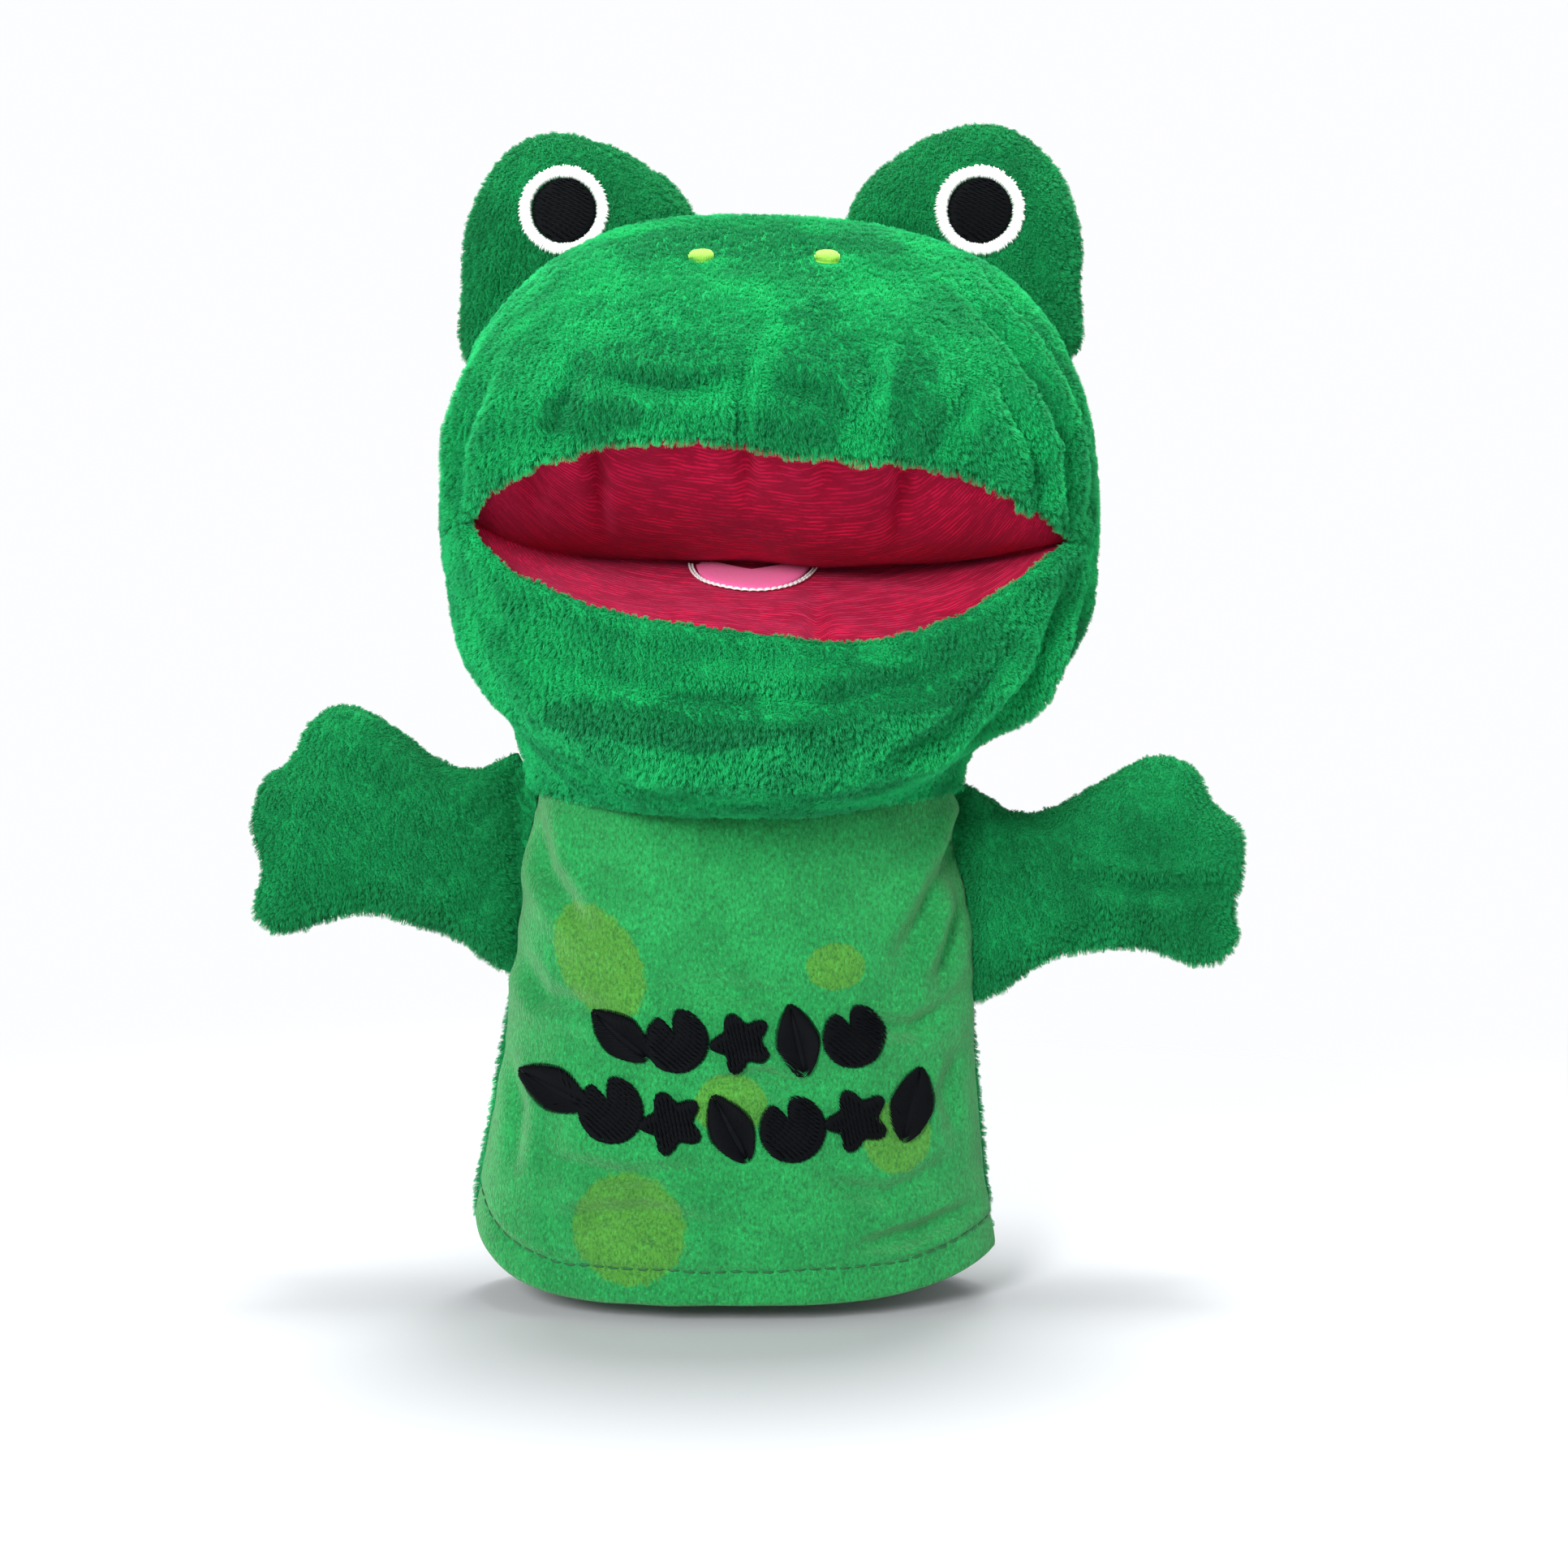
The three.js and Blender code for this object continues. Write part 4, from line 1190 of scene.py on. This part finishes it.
def swell(obj, held, pressure, cap):
    """Fills a stuffed shape by cloth simulation; held(points) says which points are sewn down."""
    remesh = obj.modifiers.new("remesh", "REMESH")
    remesh.mode = "VOXEL"
    remesh.voxel_size = 1.6 * MM
    start = applied(obj) / MM
    set_points(obj, start * SIM_SCALE)
    pins = obj.vertex_groups.new(name="sewn_down")
    pins.add([int(i) for i in np.nonzero(held(start))[0]], 1.0, "REPLACE")
    cloth = obj.modifiers.new("cloth", "CLOTH")
    cloth.collision_settings.use_collision = False
    cloth.point_cache.frame_start, cloth.point_cache.frame_end = 1, 20
    s = cloth.settings
    s.quality = 6
    s.mass = 0.3
    s.tension_stiffness = s.compression_stiffness = 15
    s.shear_stiffness = 5
    s.bending_stiffness = 0.4
    s.use_pressure = True
    s.uniform_pressure_force = pressure
    s.vertex_group_mass = pins.name
    s.effector_weights.gravity = 0
    for step in range(1, 21):
        bpy.context.scene.frame_set(step)
    swollen = applied(obj) / MM / SIM_SCALE
    obj.vertex_groups.clear()
    bpy.context.scene.frame_set(1)
    move = swollen - start
    far = np.linalg.norm(move, axis=1, keepdims=True)
    start = start + move * np.minimum(1, cap / np.maximum(far, 1e-9))
    set_points(obj, start)
    subdivide = obj.modifiers.new("subdivide", "SUBSURF")
    subdivide.levels = subdivide.render_levels = 1
    return applied(obj) / MM


def fit_outline(co, curve):
    """Brings a swollen shape back to the size of its outline as seen from the front."""
    for axis, column in ((0, 0), (2, 1)):
        low, high = curve[:, column].min(), curve[:, column].max()
        a, b = co[:, axis].min(), co[:, axis].max()
        co[:, axis] = low + (co[:, axis] - a) * (high - low) / (b - a)
    return co


def point_normals(obj):
    normals = np.zeros(len(obj.data.vertices) * 3, np.float32)
    obj.data.vertex_normals.foreach_get("vector", normals)
    return normals.reshape(-1, 3).astype(float)


def set_points(obj, co):
    obj.data.vertices.foreach_set("co", (co * MM).astype(np.float32).ravel())
    obj.data.update()


def seam_valley(obj, co, y, depth, width):
    """Pulls in the seam round a stuffed shape, where its two panels meet."""
    n = point_normals(obj)
    edge_on = np.clip(1 - np.abs(n[:, 1]) * 1.4, 0, 1)
    rise = -depth * np.exp(-(((co[:, 1] - y) / width) ** 2)) * edge_on
    return co + n * rise[:, None]


def stuffed(name, corners, centre, depth, held, pressure, cap, seam=0.9):
    """A stuffed shape: a pillow swollen by simulation, with its seam pulled in."""
    curve = closed_curve(corners, 110)
    middle = np.array([centre[0], centre[2]])
    verts, faces = pillow(middle + (curve - middle) * 0.97, centre, depth)
    # Painted shade: the stuffed arms and lobes take the darker copy of the plush.
    obj = new_object(name, verts, faces, [SHADED_PLUSH])
    co = swell(obj, held, pressure, cap)
    co = fit_outline(co, curve)
    set_points(obj, co)
    co = seam_valley(obj, co, centre[1], seam, 1.0)
    set_points(obj, co)
    obj.data.polygons.foreach_set("use_smooth", [True] * len(obj.data.polygons))
    return obj, co


LOBE_CORNERS = [  # away from the head's middle, and up
    (60.5, 189), (62, 203), (61.5, 217), (56, 228), (47.5, 233.6), (36, 233.4),
    (25, 228.5), (17, 220.5), (15.5, 210), (30, 198), (46, 190),
]
LOBE_TOP = 233.8  # the highest point of the curve through them


def make_lobe(side):
    """An eye lobe: stuffed plush standing on the crown, its foot following the head's skin."""
    sign = SIDES[side]
    rise = box_mm(f"{side}_eye_lobe_front")[1][2] - 1.2 - LOBE_TOP + (1.4 if side == "right" else 0)
    corners = [(HINGE[0] + sign * x, z + rise) for x, z in LOBE_CORNERS]
    if sign < 0:
        corners.reverse()
    centre = (HINGE[0] + sign * 41, 4.0, 212.0)

    def depth(_, s):
        return 9.0 * np.sqrt(np.maximum(1 - s**3.0, 0)) + 0.6

    obj, co = stuffed(f"{side}_eye_lobe", corners, centre, depth, lambda p: p[:, 2] < 197, 3.0, 3.0)
    # Inside the head, the foot stops just under the skin.
    dy, dz = co[:, 1] - HINGE[1], co[:, 2] - HINGE[2]
    angle = np.degrees(np.arctan2(dz, -dy))
    share = np.clip((co[:, 0] - HINGE[0] - HEAD_TURN * dy) / HALF_WIDTH, -0.999, 0.999)
    skin = (through(HEAD_PROFILE, angle) - PILE - 2.2) * side_fall(angle, share)
    r = np.hypot(dy, dz)
    grow = np.maximum(skin / np.maximum(r, 1e-6), 1)
    co[:, 1] = HINGE[1] + dy * grow
    co[:, 2] = HINGE[2] + dz * grow
    n = point_normals(obj)
    folds = [
        ([(HINGE[0] + sign * 58, 196), (HINGE[0] + sign * 52, 205), (HINGE[0] + sign * 50, 212)], 0.9, 1.8),
        ([(HINGE[0] + sign * 20, 216), (HINGE[0] + sign * 28, 213), (HINGE[0] + sign * 33, 206)], 0.8, 1.8),
    ]
    rise = sum(fold(co[:, 0], co[:, 2], path, depth_, width) for path, depth_, width in folds)
    co = co + n * (rise + 0.5 * lumps(co, 11, 3 + sign))[:, None]
    set_points(obj, co)
    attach(obj, "head")
    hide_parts(*(f"{side}_eye_lobe_{part}" for part in ("front", "back", "stuffing")))
    return obj


ARM_CORNERS = {
    "left": [
        (-41.5, 108), (-57, 110.5), (-70, 116.5), (-79, 120), (-85.5, 116.8), (-89.3, 110), (-95.4, 103.5),
        (-97, 95), (-95.6, 87), (-97.2, 79.2), (-93.8, 74.2), (-83, 75), (-73, 75.5), (-60, 71.5),
        (-44.5, 66), (-42.0, 84),
    ],
    "right": [
        (43.0, 103), (60, 101.0), (74.7, 106.1), (84.5, 109.8), (92.8, 108.2), (96.2, 101.8), (102, 95),
        (102.6, 86), (100.8, 79), (101.5, 71.8), (96.8, 67.2), (82, 68.6), (66.5, 67), (57, 62),
        (46.3, 60), (44.5, 80),
    ],
}
ARM_CENTRES = {"left": (-74, 0, 94), "right": (78, 0, 86)}
ARM_FOLDS = {
    "left": [([(-57, 95), (-50, 99), (-44, 104)], 1.1, 2.2), ([(-60, 76), (-53, 80), (-46, 88)], 0.8, 2.4)],
    "right": [
        ([(70, 86.5), (82, 84.5), (97, 84.8)], 1.9, 1.7),
        ([(80, 84), (82, 76), (86, 70)], 1.0, 2.0),
        ([(52, 98), (57, 88), (58, 80)], 0.8, 2.6),
    ],
}


def make_arm(side):
    """An arm: stuffed plush that ends in three blunt fingers, sewn flat into the side seam."""
    sign, centre = SIDES[side], ARM_CENTRES[side]
    seam_x = ARM_CORNERS[side][0][0]

    def depth(x, s):
        ramp = smooth(np.abs(x - seam_x), -2, 26)
        return 1.6 + 4.6 * ramp * np.sqrt(np.maximum(1 - s**3, 0))

    obj, co = stuffed(
        f"{side}_arm", ARM_CORNERS[side], centre, depth, lambda p: np.abs(p[:, 0] - seam_x) < 5, 1.8, 3.6
    )
    n = point_normals(obj)
    facing = np.clip(-n[:, 1] * 2, 0, 1)
    rise = sum(fold(co[:, 0], co[:, 2], path, depth_, width) for path, depth_, width in ARM_FOLDS[side])
    co = co + n * (rise * facing + 0.55 * lumps(co, 12, 5 + sign))[:, None]
    flat = smooth(np.abs(co[:, 0] - seam_x), 0, 9)
    co[:, 1] = centre[1] + (co[:, 1] - centre[1]) * lerp(0.45, 1.0, flat)
    set_points(obj, co)
    joint = JOINTS[f"{side}_arm_swing"]
    seam = np.array(joint["pos_m"]) / MM
    away = sign * (co[:, 0] - seam[0])
    bend(obj, smooth(away, 0.5, 9.0))
    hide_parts(*(f"{side}_arm_{part}" for part in ("front", "back", "stuffing")))
    return obj


# ---------------------------------------------------------------- embroidery


def make_eye(side, lobe):
    """An embroidered eye: a ring of white radial stitches round a black filled disc."""
    tree = surface_of(lobe)
    centre = centre_mm(f"{side}_pupil")
    inner = np.ptp(box_mm(f"{side}_pupil"), axis=0)[0] / 2 + 0.2
    outer = np.ptp(box_mm(f"{side}_eye_white"), axis=0)[0] / 2 + 0.1
    rng = np.random.default_rng(40 + SIDES[side])
    a = around(60)
    circle = np.stack([np.cos(a), np.sin(a)], -1)
    count = 190
    turn = (np.arange(count) + rng.uniform(-0.3, 0.3, count)) * 2 * np.pi / count
    ends = (inner + rng.uniform(-0.15, 0.1, count), outer + rng.uniform(-0.25, 0.3, count))
    lines = np.stack([np.stack([r * np.cos(turn), r * np.sin(turn)], -1) for r in ends], 1)
    edge = outer - 0.1
    ring = stitched(
        f"{side}_eye_ring", tree, centre, lines, 1.2, 0.19, WHITE_THREAD, circle * edge,
        hole=(inner + 0.2) / edge,
    )
    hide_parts(f"{side}_eye_white")
    lines = inside_lines(circle * (inner - 0.05), 0.35, 0.27, 4.2, 50 + SIDES[side])
    pupil = stitched(
        f"{side}_eye_pupil", tree, centre, lines, 0.75, 0.17, BLACK_THREAD, circle * (inner + 0.3)
    )
    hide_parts(f"{side}_pupil")
    for obj in (ring, pupil):
        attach(obj, "head")


NOSTRILS = {  # where the cloth holds them: a little to the right of the CAD's places, and lower
    "left": centre_mm("left_nostril") + (2.4, 0, -0.7),
    "right": centre_mm("right_nostril") + (1.8, 0, -2.8),
}


def make_nostril(side, face):
    """A small half-dome of lime satin stitches, flat side down."""
    centre = NOSTRILS[side]
    outward = Vector((0.0, *(centre - HINGE)[1:])).normalized()
    a = around(40)
    outline = np.stack([2.3 * np.cos(a), np.where(np.sin(a) > 0, 2.8, 1.0) * np.sin(a)], -1)
    lines = inside_lines(outline, 1.45, 0.27, 9, 60 + SIDES[side])
    obj = stitched(
        f"{side}_nostril_stitches", surface_of(face), centre, lines, 1.3, 0.18, LIME_THREAD, outline, outward
    )
    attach(obj, "head")
    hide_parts(f"{side}_nostril")


def motif_outline(kind, size, tilt):
    a = around(90)
    if kind == "pad":
        r = size * (1 - 0.62 * np.exp(-(((a - 1.2) / 0.2) ** 2)))
    elif kind == "flower":
        r = size * (0.83 + 0.17 * np.cos(5 * a + 0.4))
    else:
        along, wide = np.abs(np.cos(a - tilt)) / size, np.abs(np.sin(a - tilt)) / (size * 0.62)
        r = (along**1.5 + wide**1.5) ** (-1 / 1.5)
    return np.stack([r * np.cos(a), r * np.sin(a)], -1)


def make_motifs(belly):
    """Two bowed rows of generic water plants in black satin stitch."""
    tree = surface_of(belly)
    for row, count in (("upper", 5), ("lower", 7)):
        for i in range(count):
            node = f"{row}_motif_{i + 1}"
            kind = ("leaf", "pad", "flower")[i % 3]
            centre = centre_mm(node)
            low, high = box_mm(node)
            width, height = high[0] - low[0], high[2] - low[2]
            size = {"leaf": math.hypot(width, height) / 2.0, "pad": width / 1.9, "flower": width / 1.75}[kind]
            tilt = 1.1 + centre[0] * 0.02
            outline = motif_outline(kind, size, tilt)
            if kind == "leaf":
                halves = []
                for sign in (1, -1):
                    across = np.array([-math.sin(tilt), math.cos(tilt)]) * sign
                    half = outline - np.outer(np.minimum(outline @ across - 0.1, 0), across)
                    halves.append(inside_lines(half, tilt + sign * 0.75, 0.27, 9, 70 + i))
                lines = np.concatenate(halves)
            else:
                lines = inside_lines(outline, 0.5 if kind == "pad" else 1.2, 0.27, 4.6, 90 + i)
            obj = stitched(
                f"{row}_{kind}_{i + 1}", tree, centre, lines, 1.05, 0.18, BLACK_THREAD, outline * 0.93
            )
            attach(obj, "sleeve")
            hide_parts(node)


def make_hem_stitches(belly, back):
    """A line of dark green running stitches round the hem."""
    pitch, length = 3.1, 2.5
    turn = np.linspace(0, 2 * np.pi, 721)
    waver = 0.2 * np.sin(9 * turn) + 0.15 * np.sin(23 * turn)
    line = sleeve_point(turn, hem_round(turn) + HEM_STITCH + waver)
    at = distances(line)
    paths, normals = [], []
    tree = surface_of(belly, back)
    for k in range(int(at[-1] / pitch)):
        path = on_curve(at, line, k * pitch + np.linspace(0, length, 6))
        out = Vector((path[2][0], path[2][1] * 3.4, 0)).normalized()
        put, n = lay(tree, path, out, 8)
        arch = np.sin(np.linspace(0, np.pi, 6)) ** 0.6
        paths.append(put + n * (0.34 * arch - 0.1)[:, None])
        normals.append(n)
    obj = new_object("hem_stitches", *tubes(paths, normals, 0.22, 0.18, 0.5), [GREEN_THREAD])
    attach(obj, "sleeve")
    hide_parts("hem_stitching")


# ---------------------------------------------------------------- camera and light


def make_camera():
    data = bpy.data.cameras.new("camera")
    data.lens = 63.5
    camera = bpy.data.objects.new("camera", data)
    bpy.context.scene.collection.objects.link(camera)
    aim = Vector((9.9, 0, 104.2)) * MM
    lift = math.radians(4)
    camera.location = aim + Vector((0, -math.cos(lift), math.sin(lift))) * 560 * MM
    camera.rotation_euler = (aim - camera.location).to_track_quat("-Z", "Y").to_euler()
    data.clip_start, data.clip_end = 0.01, 20
    bpy.context.scene.camera = camera


def area_light(name, place, size, power, color=(1, 1, 1)):
    data = bpy.data.lights.new(name, "AREA")
    data.shape = "DISK"
    data.size = size
    data.energy = power
    data.color = color
    light = bpy.data.objects.new(name, data)
    light.location = place
    aim = Vector((0, 0, 0.12))
    light.rotation_euler = (aim - light.location).to_track_quat("-Z", "Y").to_euler()
    bpy.context.scene.collection.objects.link(light)


def make_world():
    """A white horizon under a dimmer sky, so that the studio looks white from every side."""
    world = bpy.data.worlds.new("world")
    world.use_nodes = True
    nodes, links = world.node_tree.nodes, world.node_tree.links
    split = nodes.new("ShaderNodeSeparateXYZ")
    fade = nodes.new("ShaderNodeMapRange")
    fade.interpolation_type = "SMOOTHSTEP"
    for key, value in (("From Min", 0.2), ("From Max", 0.75), ("To Min", 1.0), ("To Max", 0.35)):
        fade.inputs[key].default_value = value
    links.new(nodes.new("ShaderNodeTexCoord").outputs["Generated"], split.inputs[0])
    links.new(split.outputs["Z"], fade.inputs["Value"])
    links.new(fade.outputs[0], nodes["Background"].inputs["Strength"])
    nodes["Background"].inputs["Color"].default_value = (0.98, 0.985, 1.0, 1)
    bpy.context.scene.world = world


def make_floor():
    """Pale paper that fades out round the puppet, so that the floor shows no edge."""
    m = Nodes("pale_paper")
    away = m.add("ShaderNodeVectorMath", "Value", {"operation": "LENGTH"}, Vector=m.place())
    m.put(m.shader.inputs["Alpha"], m.ramp(away, 0.45, 0.16))
    far = 600
    corners = [(-far, -far, 0), (far, -far, 0), (far, far, 0), (-far, far, 0)]
    floor = new_object("floor", corners, [(0, 1, 2, 3)], [m.finish((0.52, 0.53, 0.55), 0.9)])
    floor.location.z = float(cad_low.z) - 0.0005


def make_studio():
    make_floor()
    make_world()
    area_light("key", (-0.35, -0.95, 0.50), 0.35, 14.0)
    area_light("top", (0.05, 0.0, 1.05), 0.5, 14.0)
    area_light("fill", (0.8, -0.7, 0.35), 0.7, 1.5, (0.95, 0.97, 1.0))
    area_light("rim", (0.2, 0.7, 0.8), 0.5, 3.0)
    bpy.context.scene.view_settings.view_transform = "Standard"


# ---------------------------------------------------------------- the puppet


def inside_of(obj):
    """Marks the inside points of a cloth, which have no pile."""
    count = len(obj.data.vertices)
    return np.arange(count) >= count // 2


def near(obj, place, radius):
    """Marks the points of a piece that are near a place."""
    co = np.array([v.co for v in obj.data.vertices]) / MM
    return np.linalg.norm(co - place, axis=1) < radius


def cover_with_pile():
    nostrils = near(face, NOSTRILS["left"], 2.8) | near(face, NOSTRILS["right"], 2.8)
    add_pile(face, 15000, 1.15, 11, STRANDS, inside_of(face) | nostrils)
    add_pile(chin, 13000, 1.1, 12, STRANDS, inside_of(chin))
    add_pile(back, 17000, 1.1, 13, STRANDS, inside_of(back))
    for side, seed in (("left", 20), ("right", 30)):
        eye = near(lobes[side], centre_mm(f"{side}_pupil"), 9.0)
        # Painted shade: the lobes and arms get the darker copy of the fibres.
        add_pile(lobes[side], 4400, 1.0, seed, SHADED_STRANDS, eye)
        add_pile(arms[side], 4400, 1.0, seed + 1, SHADED_STRANDS)


make_camera()
make_studio()
face = make_face()
chin = make_chin()
back = make_back()
belly = make_belly()
make_hem()
lining = make_lining()
make_tongue(lining)
lobes = {side: make_lobe(side) for side in SIDES}
arms = {side: make_arm(side) for side in SIDES}
for side in SIDES:
    make_eye(side, lobes[side])
    make_nostril(side, face)
make_motifs(belly)
make_hem_stitches(belly, back)
cover_with_pile()
